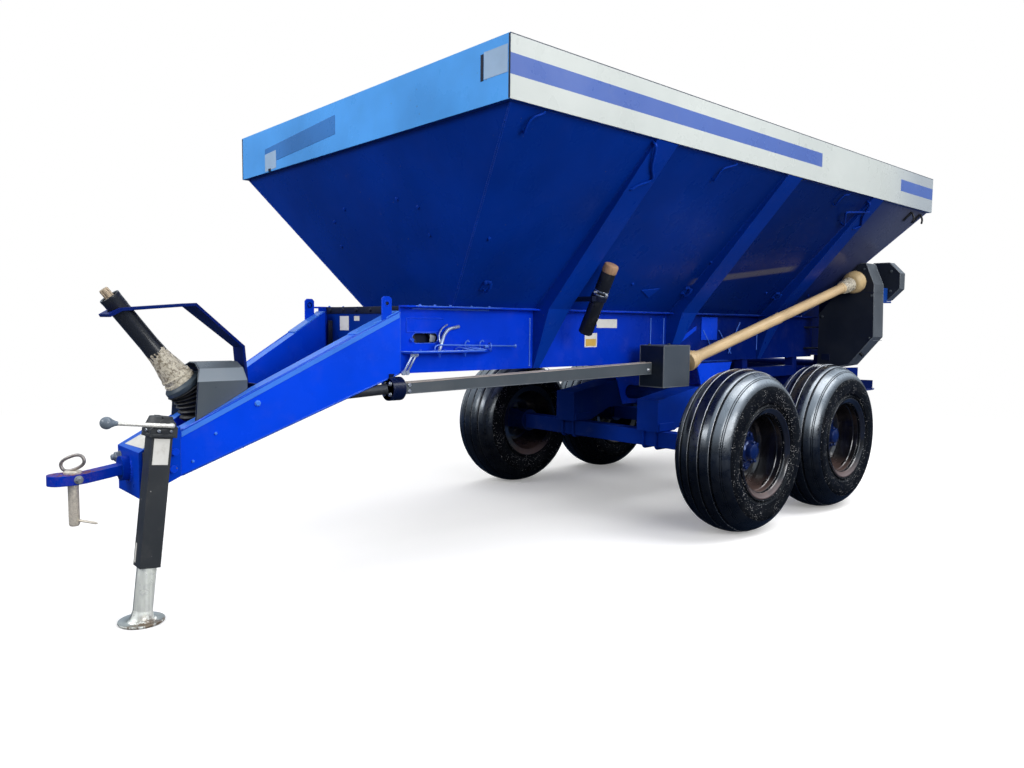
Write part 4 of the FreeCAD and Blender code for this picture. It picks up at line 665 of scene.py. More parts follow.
def bolt(bm, at, axis, size=0.01, shank=0.0, washer=True):
    """Hex head with a chamfered crown, on a washer; size is the shank's radius; at is on the surface."""
    axis = Vector(axis).normalized()
    at = Vector(at)
    base = 0.0
    if washer:
        thick = size * 0.35
        lathe(bm, [(-0.001, size * 2.0), (thick * 0.8, size * 2.0), (thick, size * 1.9),
                   (thick, size * 1.1)], at, axis, 20)
        base = thick
    head = size * 1.35
    steps = ((base - 0.0005, 1.75), (base + head * 0.8, 1.75), (base + head, 1.45))
    loft(bm, [circle(at + axis * along, axis, size * wide, 6) for along, wide in steps])
    if shank:
        end = base + head + shank
        lathe(bm, [(base + head - 0.001, size), (end - size * 0.3, size), (end, size * 0.75)], at, axis, 12)


def bolt_circle(bm, centre, across, above, radius, count, axis, size, phase=0.5, shank=0.0):
    """Bolts round a circle in the plane of across and above."""
    for c, n in turns(count, phase):
        bolt(bm, centre + across * (radius * c) + above * (radius * n), axis, size, shank)


def weld(bm, start, end, radius, pitch, seed):
    """A rippled bead between two points."""
    start, end = Vector(start), Vector(end)
    steps = max(4, int((end - start).length / (pitch * 0.5)))
    dice = random.Random(seed)
    points, radii = [], []
    for i in range(steps + 1):
        points.append(start.lerp(end, i / steps))
        radii.append(radius * (1.0 + (0.16 if i % 2 else -0.12) + dice.uniform(-0.08, 0.08)))
    tube(bm, points, radius, count=8, radii=radii)


def piece(name, bm, material, stands_for=(), body="frame", sharp=32.0, second=None, pick=None):
    """Makes the object; faces whose middle pick says yes to get the second material."""
    bmesh.ops.recalc_face_normals(bm, faces=bm.faces)
    if pick:
        for face in bm.faces:
            face.material_index = int(pick(face.calc_center_median()))
    mesh = bpy.data.meshes.new(name)
    bm.to_mesh(mesh)
    bm.free()
    mesh.shade_smooth()
    mesh.set_sharp_from_angle(angle=math.radians(sharp))
    mesh.materials.append(material)
    if second:
        mesh.materials.append(second)
    obj = bpy.data.objects.new(name, mesh)
    bpy.context.scene.collection.objects.link(obj)
    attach(obj, body)
    if stands_for:
        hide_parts(*stands_for)
    return obj


# ------------------------------------------------------------------ wheels
TYRE_HALF = 0.166           # half the tyre's width
SHOULDER_DROP = 0.112       # from the crown's top down to the widest part
CROWN_POWER = 2.05
TREAD_GROOVES = ((0.03, 0.0055, 0.011), (0.086, 0.0055, 0.011))      # across, half width, depth
SHOULDER_LINES = ((0.127, 0.0014, 0.0035), (0.134, 0.0014, 0.0035))
TREAD_STEPS = 144


def crown(across, radius):
    """The tread's radius at a distance across from the tyre's middle."""
    share = min(1.0, across / TYRE_HALF)
    return radius - SHOULDER_DROP + SHOULDER_DROP * (1.0 - share ** CROWN_POWER) ** (1.0 / CROWN_POWER)


def tyre_profile(radius, bead_x, bead_r):
    """Half of a ribbed implement tyre's outline, from the crown to the bead, as (across, radius)."""
    half, middle = TYRE_HALF, radius - SHOULDER_DROP
    points = [(x, crown(x, radius)) for x in (0.0, 0.012, 0.021)]
    for x, w, deep in TREAD_GROOVES + SHOULDER_LINES:
        lip = 0.0016 if w > 0.003 else 0.0006
        floor_r = crown(x, radius) - deep
        points += [(x - w - lip, crown(x - w - lip, radius)), (x - w, crown(x - w, radius) - lip),
                   (x - w * 0.7, floor_r), (x + w * 0.7, floor_r),
                   (x + w, crown(x + w, radius) - lip), (x + w + lip, crown(x + w + lip, radius))]
        if x < 0.1:
            points += [(x + step, crown(x + step, radius)) for step in (0.018, 0.03)]
    points = [p for i, p in enumerate(points) if i == 0 or p[0] > points[i - 1][0] - 0.012]
    for share in (0.85, 0.9, 0.94, 0.97, 0.99, 1.0):
        points.append((half * share, crown(half * share, radius)))
    for t in (0.2, 0.4, 0.55):
        points.append((half - 0.01 * t * t, middle - 0.075 * t))
    # a moulded line round the wall, then the bead
    x, r = half - 0.006, middle - 0.05
    points += [(x + 0.0012, r), (x + 0.0012, r - 0.003), (x - 0.0005, r - 0.004),
               (half - 0.011, middle - 0.066), (half - 0.015, bead_r + 0.018),
               (bead_x + 0.003, bead_r + 0.01), (bead_x - 0.001, bead_r + 0.003),
               (bead_x - 0.004, bead_r - 0.002)]
    return points


def wheel(name, body, centre, out):
    """One tyre, its rim and its hub; out is +1 or -1 along X, away from the machine."""
    axis = X_AXIS * out
    radius = centre.z
    outer = tyre_profile(radius, 0.158, 0.236)
    inner = [(-x, r) for x, r in reversed(outer[1:])]
    bm = bmesh.new()
    lathe(bm, inner + outer + [(0.14, 0.204), (-0.14, 0.204)], centre, axis, TREAD_STEPS, wrap=True)

    def on_wall(spot):
        reach = math.hypot(spot.y - centre.y, spot.z - centre.z)
        return reach < radius - 0.078

    piece("tyre_body_" + name, bm, tyre_rubber, ["tyre_" + name], body, 40, wall_rubber, on_wall)
    bm = bmesh.new()
    lip = 0.0019
    for across in (0.03, 0.086, -0.03, -0.086):
        x = across - 0.0068
        at = crown(abs(x), radius) - 0.0013
        lathe(bm, [(x + lip * c, at + lip * n) for c, n in turns(6)], centre, axis, TREAD_STEPS, wrap=True)
    piece("tread_lips_" + name, bm, tread_lips, body=body)
    bm = bmesh.new()
    barrel = [(0.15, 0.2365), (0.155, 0.2385), (0.158, 0.237), (0.1585, 0.232), (0.154, 0.226),
              (0.15, 0.218), (0.146, 0.21), (0.14, 0.2065), (0.132, 0.2055), (0.13, 0.203),
              (0.104, 0.2005), (0.101, 0.198), (0.06, 0.1965), (0.02, 0.194), (0.008, 0.19),
              (-0.004, 0.18), (-0.016, 0.176), (-0.07, 0.176), (-0.09, 0.188), (-0.146, 0.2),
              (-0.15, 0.218), (-0.156, 0.237), (-0.15, 0.24), (-0.143, 0.222), (-0.138, 0.207),
              (-0.09, 0.196), (-0.07, 0.184), (0.0, 0.186), (0.02, 0.201), (0.11, 0.2075), (0.137, 0.213),
              (0.143, 0.222)]
    lathe(bm, barrel, centre, axis, 96, wrap=True)
    dish = [(0.006, 0.0), (0.006, 0.1), (0.01, 0.122), (0.004, 0.146), (-0.02, 0.166), (-0.04, 0.1765),
            (-0.03, 0.1765), (-0.01, 0.168), (0.013, 0.148), (0.019, 0.122), (0.014, 0.098), (0.014, 0.0)]
    lathe(bm, dish, centre, axis, 72)
    piece("rim_body_" + name, bm, rim_black, ["wheel_rim_" + name], body)
    bm = bmesh.new()
    hub = [(-0.15, 0.06), (-0.15, 0.072), (-0.01, 0.072), (0.0, 0.078), (0.0142, 0.078), (0.0145, 0.113),
           (0.022, 0.113), (0.024, 0.11), (0.024, 0.066), (0.03, 0.06), (0.052, 0.056), (0.056, 0.05),
           (0.06, 0.0465), (0.078, 0.045), (0.088, 0.04), (0.093, 0.028), (0.095, 0.012), (0.0955, 0.0)]
    lathe(bm, hub, centre, axis, 48)
    bolt_circle(bm, centre + axis * 0.024, Y_AXIS, Z_AXIS, 0.089, 6, axis, 0.01, phase=0.3, shank=0.016)
    piece("hub_" + name, bm, hub_blue, body=body)
    bm = bmesh.new()
    foot = centre + axis * 0.1 + Vector((0, 0.35, -0.94)).normalized() * 0.19
    bend, tip = Vector((0, -0.006, 0.018)), Vector((0, -0.012, 0.03))
    tube(bm, [foot, foot + axis * 0.012 + bend, foot + axis * 0.03 + tip], 0.0045, 10)
    piece("valve_" + name, bm, black_rubber, body=body)


for joint in frame["joints"]:
    if joint["name"].startswith("wheel_"):
        place = joint["child"].replace("wheel_", "")
        wheel(place, joint["child"], Vector(joint["pos_m"]), 1 if joint["pos_m"][0] > 0 else -1)


# ------------------------------------------------------------------ more finishes
paper = plastic("paper", (0.72, 0.72, 0.69), rough=0.6, spec=0.2, mottle=0.12, dirt=(0.42, 0.4, 0.33),
                dirty=0.5)
knob_grey = plastic("knob_grey", (0.17, 0.21, 0.26), rough=0.3, dirt=(0.25, 0.25, 0.25))
collar_rubber = plastic("collar_rubber", (0.045, 0.065, 0.085), rough=0.35, dirt=(0.12, 0.12, 0.12))
cap_tan = plastic("cap_tan", (0.4, 0.24, 0.14), rough=0.5, dirt=(0.2, 0.12, 0.08))
stub_tan = steel("stub_tan", (0.46, 0.36, 0.25), rough=0.5, metal=0.35, rust=0.15)
plain_blue = enamel("plain_blue", (0.04, 0.2, 0.58), rough=0.3, spec=0.2, coat=0.0, dust=0.0, wear=0.0)
octagon_blue = enamel("octagon_blue", (0.006, 0.05, 0.28), rough=0.35, spec=0.2, coat=0.0)
# shade_paper is the paper tinted blue as if in shade: painted shade.
shade_paper = plastic("shade_paper", (0.36, 0.52, 0.74), rough=0.6, spec=0.2, mottle=0.1,
                      dirt=(0.3, 0.36, 0.42), dirty=0.3)
shaft_black = plastic("shaft_black", (0.018, 0.02, 0.024), rough=0.26, spec=0.6, mottle=0.3,
                      dirt=(0.1, 0.1, 0.1), dirty=0.25)
dull_zinc = steel("dull_zinc", (0.3, 0.32, 0.34), rough=0.45, metal=0.7, rust=0.05)
# Near black for seams and dark edges, and painted shade in slots, holes and gaps.
seam_dark = enamel("seam_dark", (0.004, 0.008, 0.03), rough=0.45, spec=0.2, coat=0.0)
lip_blue = enamel("lip_blue", (0.01, 0.075, 0.62), rough=0.24, spec=0.5, coat=0.15, tint=(0.35, 0.55, 1.0))
# A paler, glossier blue for weld beads, rods and edge lines: painted highlight.
pale_weld = enamel("pale_weld", (0.06, 0.17, 0.72), rough=0.22, spec=0.8, coat=0.3, dust=0.0,
                   tint=(0.6, 0.75, 1.0))
bearing_blue = enamel("bearing_blue", (0.0008, 0.005, 0.035), rough=0.32, spec=0.3, coat=0.03)
edge_grey = enamel("edge_grey", (0.095, 0.11, 0.13), rough=0.34, spec=0.4, coat=0.1, dust=0.1,
                   chip=PALE_CHIP)
# A paler blue for lit strips, plates and bolt heads: painted highlight.
strip_blue = blue_enamel("strip_blue", (0.055, 0.21, 0.82), rough=0.28, spec=0.3, coat=0.05)
dark_steel = steel("dark_steel", (0.05, 0.054, 0.064), rough=0.45, metal=0.4, rust=0.1)
pale_rod = steel("pale_rod", (0.8, 0.79, 0.74), rough=0.3, metal=0.25, rust=0.0)
# Pale tan for the guard's top edge: painted highlight.
worn_edge = enamel("worn_edge", (0.42, 0.37, 0.34), rough=0.4, spec=0.3, coat=0.0, dust=0.1)
pale_steel = steel("pale_steel", (0.42, 0.5, 0.66), rough=0.3, metal=0.6, rust=0.0)
amber_film = plastic("amber_film", (0.62, 0.4, 0.08), rough=0.4, mottle=0.1, dirty=0.2)
tan_plastic = plastic("tan_plastic", (0.62, 0.45, 0.25), rough=0.36, mottle=0.12, dirt=(0.38, 0.28, 0.18),
                      dirty=0.3)
cup_tan = plastic("cup_tan", (0.5, 0.37, 0.19), rough=0.42, mottle=0.2, dirt=(0.22, 0.15, 0.1), dirty=0.5)


def greasy_material():
    """Cream plastic smeared with dark grease."""
    s = Shader("greasy_cream", Specular_IOR_Level=0.5)
    blotch = s.span(s.noise(95.0, 6.0, 0.7, distortion=0.3), 0.36, 0.56)
    colour = s.mix(blotch, (0.2, 0.165, 0.115), (0.62, 0.57, 0.46))
    specks = s.span(s.cells(210.0).outputs["Distance"], 0.16, 0.32)
    colour = s.mix(s.times(s.math("SUBTRACT", 1.0, specks), 0.55), colour, (0.07, 0.06, 0.05))
    rough = s.span(blotch, 0.0, 1.0, 0.22, 0.5)
    s.bump(s.noise(80.0, 6.0, 0.7), 0.7, 0.004)
    return s.done(colour, rough)


greasy = greasy_material()


def tongue_material():
    """The hitch's blue enamel, rusted round the pin."""
    s = Shader("tongue_paint", Specular_IOR_Level=0.03, Specular_Tint=(*BLUE_SHINE, 1.0))
    low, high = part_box("hitch_pin")
    centre = (low + high) / 2
    away = s.add("ShaderNodeVectorMath", operation="DISTANCE")
    flat = s.add("ShaderNodeMapping")
    flat.inputs["Scale"].default_value = (1.0, 0.75, 0.8)
    s.link(s.coords, flat.inputs["Vector"])
    s.link(flat.outputs[0], away.inputs[0])
    away.inputs[1].default_value = (centre.x, centre.y * 0.75, high.z * 0.8 - 0.06)
    near = s.span(away.outputs["Value"], 0.03, 0.095, 1.0, 0.0)
    near = s.times(near, s.span(s.facing("Z"), 0.0, 0.6, 0.15, 1.0))
    rust = s.times(near, s.span(s.noise(60.0, 7.0, 0.7), 0.42, 0.56))
    colour = s.mix(s.span(s.noise(6.0, 4.0), 0.3, 0.7), shade(BLUE, 0.48), shade(BLUE, 0.72))
    worn = s.times(s.edges(0.006), s.span(s.noise(22.0, 5.0, 0.7), 0.4, 0.6))
    colour = s.mix(s.times(worn, 0.3), colour, (0.015, 0.15, 0.66))
    rusty = s.mix(s.span(s.noise(90.0, 5.0, 0.7), 0.35, 0.65), (0.14, 0.05, 0.025), (0.3, 0.145, 0.085))
    colour = s.mix(rust, colour, rusty)
    rough = s.span(rust, 0.0, 1.0, 0.3, 0.75)
    s.bump(s.noise(60.0, 4.0), 0.25, 0.0015, soft=0.006)
    return s.done(colour, rough)


# The conveyor drums, seen through the slots, are made near black: painted shade.
finish_nodes({
    "hitch_tongue": tongue_material(), "shaft_bearing": bearing_blue, "cross_shaft": dark_steel,
    "conveyor_drums": seam_dark, "canister_clamp": seam_dark,
})


# ------------------------------------------------------------------ jack
LEG_LOW, LEG_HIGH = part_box("jack_leg")
FOOT_R = 0.079
JACK_FOOT = Vector(((LEG_LOW.x + LEG_HIGH.x) / 2, LEG_LOW.y + FOOT_R, 0.0))
JACK_LEAN = math.radians(6.5)
JACK_UP = Vector((0, math.sin(JACK_LEAN), math.cos(JACK_LEAN)))
JACK_BACK = Vector((0, JACK_UP.z, -JACK_UP.y))


def on_jack(along, out=0.0, back=0.0):
    """A point up along the jack, out to the machine's left and back from its axis."""
    return JACK_FOOT + JACK_UP * along + X_AXIS * out + JACK_BACK * back


def jack():
    bm = bmesh.new()
    lathe(bm, [(0.0, 0.0), (0.0, 0.072), (0.002, 0.077), (0.006, FOOT_R), (0.01, 0.078), (0.0105, 0.074),
               (0.008, 0.066), (0.01, 0.051), (0.016, 0.045), (0.02, 0.0)], JACK_FOOT, Z_AXIS, 56)
    heights = (0.009, 0.016, 0.024, 0.034, 0.044)
    radii = (0.045, 0.041, 0.038, 0.036, 0.0335)
    tube(bm, [on_jack(height) for height in heights], 0.03, count=40, radii=radii, ends=False)
    lathe(bm, [(0.02, 0.032), (0.03, 0.0335), (0.43, 0.0335), (0.435, 0.031)], JACK_FOOT, JACK_UP, 40)
    piece("jack_foot_leg", bm, zinc, ["jack_leg"], "jack_leg")
    # crank: boss, rod and knob
    hub = on_jack(0.718, 0.0475, 0.022)
    knob = hub + Vector((0.022, -0.218, 0.028))
    bend = hub + Vector((0.02, 0, 0))
    bm = bmesh.new()
    lathe(bm, [(0.0, 0.0095), (0.006, 0.0095), (0.008, 0.0085), (0.016, 0.0085), (0.018, 0.0)], hub,
          X_AXIS, 28)
    tube(bm, rounded([bend - X_AXIS * 0.012, bend, knob], 0.018), 0.0075, 16)
    piece("jack_crank_rod", bm, pale_rod, ["jack_crank"])
    bm = bmesh.new()
    axis = (knob - bend).normalized()
    r = 0.0215
    ball = [(-0.034, 0.0), (-0.034, 0.008), (-0.028, 0.009), (-0.0225, 0.0115), (-0.019, 0.0135)]
    ball += [(-r * math.cos(t), r * math.sin(t)) for t in [0.66 + 0.228 * i for i in range(12)]]
    lathe(bm, ball, knob, axis, 36)
    piece("jack_crank_knob", bm, knob_grey)
    # head: flange, gear cover and bolts
    bm = bmesh.new()
    half, square = 0.052, 5.0        # the flange is a square with well rounded corners
    ring = []
    for c, n in turns(28):
        size = half / (abs(c) ** square + abs(n) ** square) ** (1 / square)
        ring.append((c * size, n * size))
    slab(bm, [on_jack(0.674, a, b) for a, b in ring], JACK_UP * 0.012, 0.0022)
    lathe(bm, [(-0.004, 0.018), (0.001, 0.018), (0.003, 0.016), (0.003, 0.0)], hub - X_AXIS * 0.0005,
          X_AXIS, 32)
    lathe(bm, [(0.682, 0.0), (0.682, 0.0515), (0.688, 0.054), (0.706, 0.054), (0.711, 0.0525),
               (0.741, 0.041), (0.746, 0.0385), (0.747, 0.0)], JACK_FOOT, JACK_UP, 48)
    piece("jack_head_cover", bm, jack_paint)
    bm = bmesh.new()
    for turn in (-70, -20, 25, 62):
        t = math.radians(turn)
        away = X_AXIS * math.cos(t) + JACK_BACK * math.sin(t)
        bolt(bm, on_jack(0.697) + away * 0.0535, away, 0.0036, washer=False)
    piece("jack_bolts", bm, bright_steel)
    # plates left blank
    bm = bmesh.new()
    face = 0.0362
    spots = ((0.574, -0.028), (0.574, 0.027), (0.668, 0.027), (0.668, -0.028))
    slab(bm, [on_jack(along, face, back) for along, back in spots], X_AXIS * 0.0008, 0.0003, 1)
    spots = ((0.215, -0.028), (0.215, -0.014), (0.285, -0.014), (0.285, -0.028))
    slab(bm, [on_jack(along, out, -face) for along, out in spots], JACK_BACK * -0.0006, 0.0002, 1)
    piece("jack_blank_plates", bm, paper)
    # fixing bolts through the side of the tube
    bm = bmesh.new()
    for along in (0.548, 0.612):
        for back in (-0.02, 0.024):
            bolt(bm, on_jack(along, -0.0365, back + 0.052), -X_AXIS, 0.007)
    piece("jack_fixing_bolts", bm, machine_blue)


jack()


# ------------------------------------------------------------------ hitch
PIN_LOW, PIN_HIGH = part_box("hitch_pin")
PIN = Vector(((PIN_LOW.x + PIN_HIGH.x) / 2, (PIN_LOW.y + PIN_HIGH.y) / 2, 0.0))
TONGUE_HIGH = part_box("hitch_tongue")[1]


def hitch():
    low, seat = PIN_LOW.z, 0.535
    bm = bmesh.new()
    lathe(bm, [(low, 0.0), (low, 0.0135), (low + 0.005, 0.0172), (low + 0.009, 0.018), (0.499, 0.018),
               (0.5, 0.0195), (seat, 0.0195), (seat, 0.029), (seat + 0.003, 0.03), (seat + 0.008, 0.029),
               (seat + 0.01, 0.024), (seat + 0.01, 0.0)], PIN, Z_AXIS, 36)
    bar = 0.0058
    lean = Vector((0.6, 0.68, 0.36)).normalized()
    rise = Vector((-0.1, -0.16, 1.0))
    rise = (rise - lean * rise.dot(lean)).normalized()
    middle = Vector((PIN.x, PIN.y, seat + 0.01 + 0.028))
    ring = []
    for c, n in turns(48):
        across = lean * (0.043 * math.copysign(abs(c) ** 0.75, c))
        ring.append(middle + across + rise * (0.0235 * math.copysign(abs(n) ** 0.85, n)))
    piece("hitch_pin_bar", bm, bare_steel, ["hitch_pin"])
    bm = bmesh.new()
    tube(bm, ring, bar, 12, wrap=True)
    piece("hitch_pin_ring", bm, ring_steel)
    bm = bmesh.new()
    z = low + 0.022
    along = Vector((0.8, 0.6, -0.08)).normalized()
    start = Vector((PIN.x, PIN.y, z))
    tube(bm, [start, start + along * 0.088, start + along * 0.094], 0.0045, 10,
         radii=[0.0045, 0.0045, 0.0025])
    piece("linch_pin", bm, bare_steel)
    # retaining bolt through the side of the eye
    bm = bmesh.new()
    at = Vector((TONGUE_HIGH.x - 0.001, PIN.y + 0.008, 0.517))
    lathe(bm, [(-0.002, 0.0155), (0.002, 0.0155), (0.003, 0.014), (0.003, 0.0)], at, X_AXIS, 28)
    bolt(bm, at + X_AXIS * 0.003, X_AXIS, 0.0062, washer=False)
    piece("eye_bolt", bm, dull_zinc)
    # weld lumps and a fillet where the tongue enters the nose
    bm = bmesh.new()
    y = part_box("drawbar_nose")[0].y
    root = Vector((0, y, 0.528))
    collar = 0.047
    ring = []
    radii = []
    dice = random.Random(4)
    for k, (c, n) in enumerate(turns(64)):
        ring.append(root + X_AXIS * (collar * c) + Z_AXIS * (collar * n))
        radii.append(0.0052 * (1 + (0.2 if k % 2 else -0.1) + dice.uniform(-0.1, 0.1)))
    tube(bm, ring, 0.005, 8, wrap=True, radii=radii)
    lathe(bm, [(0.0, 0.04), (-0.01, 0.046), (-0.034, 0.05), (-0.036, 0.046), (-0.036, 0.0)][::-1], root,
          -Y_AXIS, 40)
    piece("collar_welds", bm, machine_blue)
    bm = bmesh.new()
    bolt(bm, (-0.098, y, 0.563), -Y_AXIS, 0.012, shank=0.012)
    piece("nose_bolts", bm, knob_grey)
    bm = bmesh.new()
    low_z, slope = 0.606, 0.555      # the nose's sloping top
    spots = ((-0.083, -2.386), (0.11, -2.38), (0.1, -2.312), (-0.076, -2.319))
    corners = [(x, at, low_z + (at - y) * slope) for x, at in spots]
    slab(bm, corners, (0, -0.0003, 0.0006), 0.0002, 1)
    piece("nose_blank_plate", bm, paper)


hitch()


# ------------------------------------------------------------------ power input
BEND = Vector((0, -2.201, 0.849))
PTO_RISE = math.radians(52.4)
PTO_UP = Vector((0, -math.cos(PTO_RISE), math.sin(PTO_RISE)))


def lumpy(bm, profile, origin, axis, count, size, seed):
    """A turned form with an uneven surface."""
    start = len(bm.verts)
    lathe(bm, profile, origin, axis, count)
    bm.verts.ensure_lookup_table()
    dice = random.Random(seed)
    for v in bm.verts[start:]:
        along = (v.co - Vector(origin)).dot(axis)
        away = v.co - Vector(origin) - axis * along
        if away.length > 0.005:
            v.co += away.normalized() * dice.uniform(-size, size)


def power_input():
    bm = bmesh.new()
    low, high, r = 0.136, 0.403, 0.036
    foot = [(low - 0.016, 0.03), (low - 0.016, 0.0385), (low + 0.02, 0.0375), (low + 0.05, r)]
    mouth = ((-0.05, r), (-0.048, r + 0.0008), (-0.01, r + 0.0008), (-0.008, r + 0.0016),
             (0.004, r + 0.0018), (0.005, r + 0.0008), (0.002, 0.031), (-0.06, 0.029), (-0.06, 0.0))
    lathe(bm, foot + [(high + along, size) for along, size in mouth], BEND, PTO_UP, 48)
    piece("shaft_tube_cover", bm, shaft_black, ["pto_shaft_guard"])
    bm = bmesh.new()
    teeth = 6
    a, b = frame_of(PTO_UP)
    rings = []
    for along, scale in ((high - 0.058, 1.0), (high + 0.03, 1.0), (high + 0.036, 0.9)):
        ring = []
        for k, (c, n) in enumerate(turns(teeth * 8)):
            rr = (0.0175 if (k % 8) < 5 else 0.015) * scale
            ring.append(BEND + PTO_UP * along + a * (rr * c) + b * (rr * n))
        rings.append(ring)
    loft(bm, rings)
    lathe(bm, [(high - 0.058, 0.024), (high - 0.012, 0.024), (high - 0.01, 0.022), (high - 0.01, 0.0)],
          BEND, PTO_UP, 32)
    piece("splined_stub", bm, stub_tan)
    bm = bmesh.new()
    steps = [(-0.004, 0.058), (0.0, 0.0605), (0.012, 0.0605), (0.015, 0.057), (0.02, 0.0555),
             (0.024, 0.058), (0.031, 0.058), (0.034, 0.054), (0.046, 0.052), (0.058, 0.05),
             (0.07, 0.0475), (0.082, 0.0445), (0.092, 0.042), (0.101, 0.0405), (0.112, 0.0395),
             (0.124, 0.0385), (0.134, 0.0375), (0.14, 0.0362), (0.142, 0.033)]
    lumpy(bm, [(-0.004, 0.0)] + [(a * 1.13, b) for a, b in steps], BEND, PTO_UP, 40, 0.0014, 7)
    piece("greasy_cone", bm, greasy)
    # rubber collar and ribbed boot
    bm = bmesh.new()
    lathe(bm, [(-0.03, 0.0), (-0.03, 0.066), (-0.028, 0.07), (-0.024, 0.0735), (-0.016, 0.0745),
               (-0.008, 0.0735), (-0.004, 0.07), (0.0, 0.064), (0.004, 0.061), (0.004, 0.0)], BEND,
          PTO_UP, 48)
    piece("boot_collar", bm, collar_rubber)
    bm = bmesh.new()
    start = BEND - PTO_UP * 0.026
    end = Vector((0, -2.15, 0.698))
    bend = BEND - PTO_UP * 0.072
    path = []
    ribs = 7
    steps = ribs * 6
    radii = []
    for i in range(steps + 1):
        t = i / steps
        path.append(start * (1 - t) ** 2 + bend * (2 * t * (1 - t)) + end * t ** 2)
        base = 0.076 * (1 - t) + 0.051 * t
        phase = (t * ribs) % 1.0
        radii.append(base - 0.011 * (abs(phase * 2 - 1) ** 1.4 if i % 6 else 1.0) + 0.003)
    tube(bm, path, 0.05, 40, radii=radii, ends=False)
    piece("ribbed_boot", bm, black_rubber, ["pto_bellows"])


power_input()


def hood_edge():
    """Dark rolled edge round the hood's open front."""
    half = [(0.13, -2.1964, 0.704), (0.13, -2.184, 0.855), (0.09, -2.1648, 0.903), (0.03, -2.156, 0.925)]
    line = [Vector((x * 0.988, y + 0.002, z - 0.0015)) for x, y, z in half]
    line += [Vector((-p.x, p.y, p.z)) for p in reversed(line)]
    bm = bmesh.new()
    tube(bm, line, 0.0024, 8)
    piece("hood_front_edge", bm, seam_dark)


hood_edge()


# ------------------------------------------------------------------ hopper trim
PANEL_LOW, PANEL_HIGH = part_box("hopper_left_panel")
RIM_LOW, RIM_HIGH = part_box("hopper_rim_sides")
SIDE_LEAN = 1.0072               # run per rise of the side walls
END_LEAN = 0.4298
SIDE_OUT = Vector((1.0, 0.0, -SIDE_LEAN)).normalized()
FRONT_OUT = Vector((0.0, -1.0, -END_LEAN)).normalized()
REAR_OUT = Vector((0.0, 1.0, -END_LEAN)).normalized()
PAPER = 0.0009                   # thickness of the blank papers


def side_out(side):
    """The way straight off the left (1) or right (-1) wall."""
    return Vector((SIDE_OUT.x * side, 0, SIDE_OUT.z))


def on_side(y, z, side=1, out=0.0):
    """A point on the outside of the left (1) or right (-1) wall."""
    point = Vector((PANEL_HIGH.x - (PANEL_HIGH.z - z) * SIDE_LEAN, y, z)) + SIDE_OUT * out
    point.x *= side
    return point


def on_front(x, z):
    return Vector((x, PANEL_LOW.y + (PANEL_HIGH.z - z) * END_LEAN, z))


def on_rear(x, z):
    return Vector((x, PANEL_HIGH.y - (PANEL_HIGH.z - z) * END_LEAN, z))


def flip(points, side):
    """Points of the left side, put on the left (1) or right (-1)."""
    return [Vector((p[0] * side, p[1], p[2])) for p in points]


def strap(bm, start, end, half_width, thick, bevel=0.0008):
    """A flat bar between two points; half_width and thick are vectors."""
    start, end, half_width = Vector(start), Vector(end), Vector(half_width)
    slab(bm, [start - half_width, end - half_width, end + half_width, start + half_width], thick, bevel, 1)


# bent rods on the left wall: where each one passes, from the top down
HOOKS = (
    ((1.06, -1.29, 1.853), (1.055, -1.294, 1.847), (1.042, -1.325, 1.833),
     (1.022, -1.336, 1.814), (0.991, -1.326, 1.782)),
    ((1.058, -0.035, 1.853), (1.053, -0.041, 1.844), (1.033, -0.101, 1.825),
     (1.01, -0.106, 1.8), (0.981, -0.1, 1.772)),
    ((1.058, 1.133, 1.853), (1.054, 1.131, 1.845), (1.05, 1.091, 1.841), (1.02, 1.084, 1.812),
     (0.994, 1.092, 1.786)),
)
HANDLES = (
    ((1.067, -0.648, 1.832), (1.003, -0.588, 1.76), (0.962, -0.52, 1.716),
     (0.942, -0.583, 1.693), (0.918, -0.62, 1.666)),
    ((1.057, 1.416, 1.821), (0.998, 1.463, 1.755), (0.955, 1.553, 1.707), (0.935, 1.49, 1.685)),
    ((1.007, 1.492, 1.799), (0.982, 1.232, 1.774), (0.919, 1.361, 1.711)),
)


def pushed(points, away, side):
    """The points moved off the left wall until each is clear of it by away, then put on one side."""
    out = []
    for p in points:
        p = Vector(p)
        gap = (p - on_side(p.y, p.z)).dot(SIDE_OUT)
        out.append(p + SIDE_OUT * max(0.0, away - gap))
    return flip(out, side)


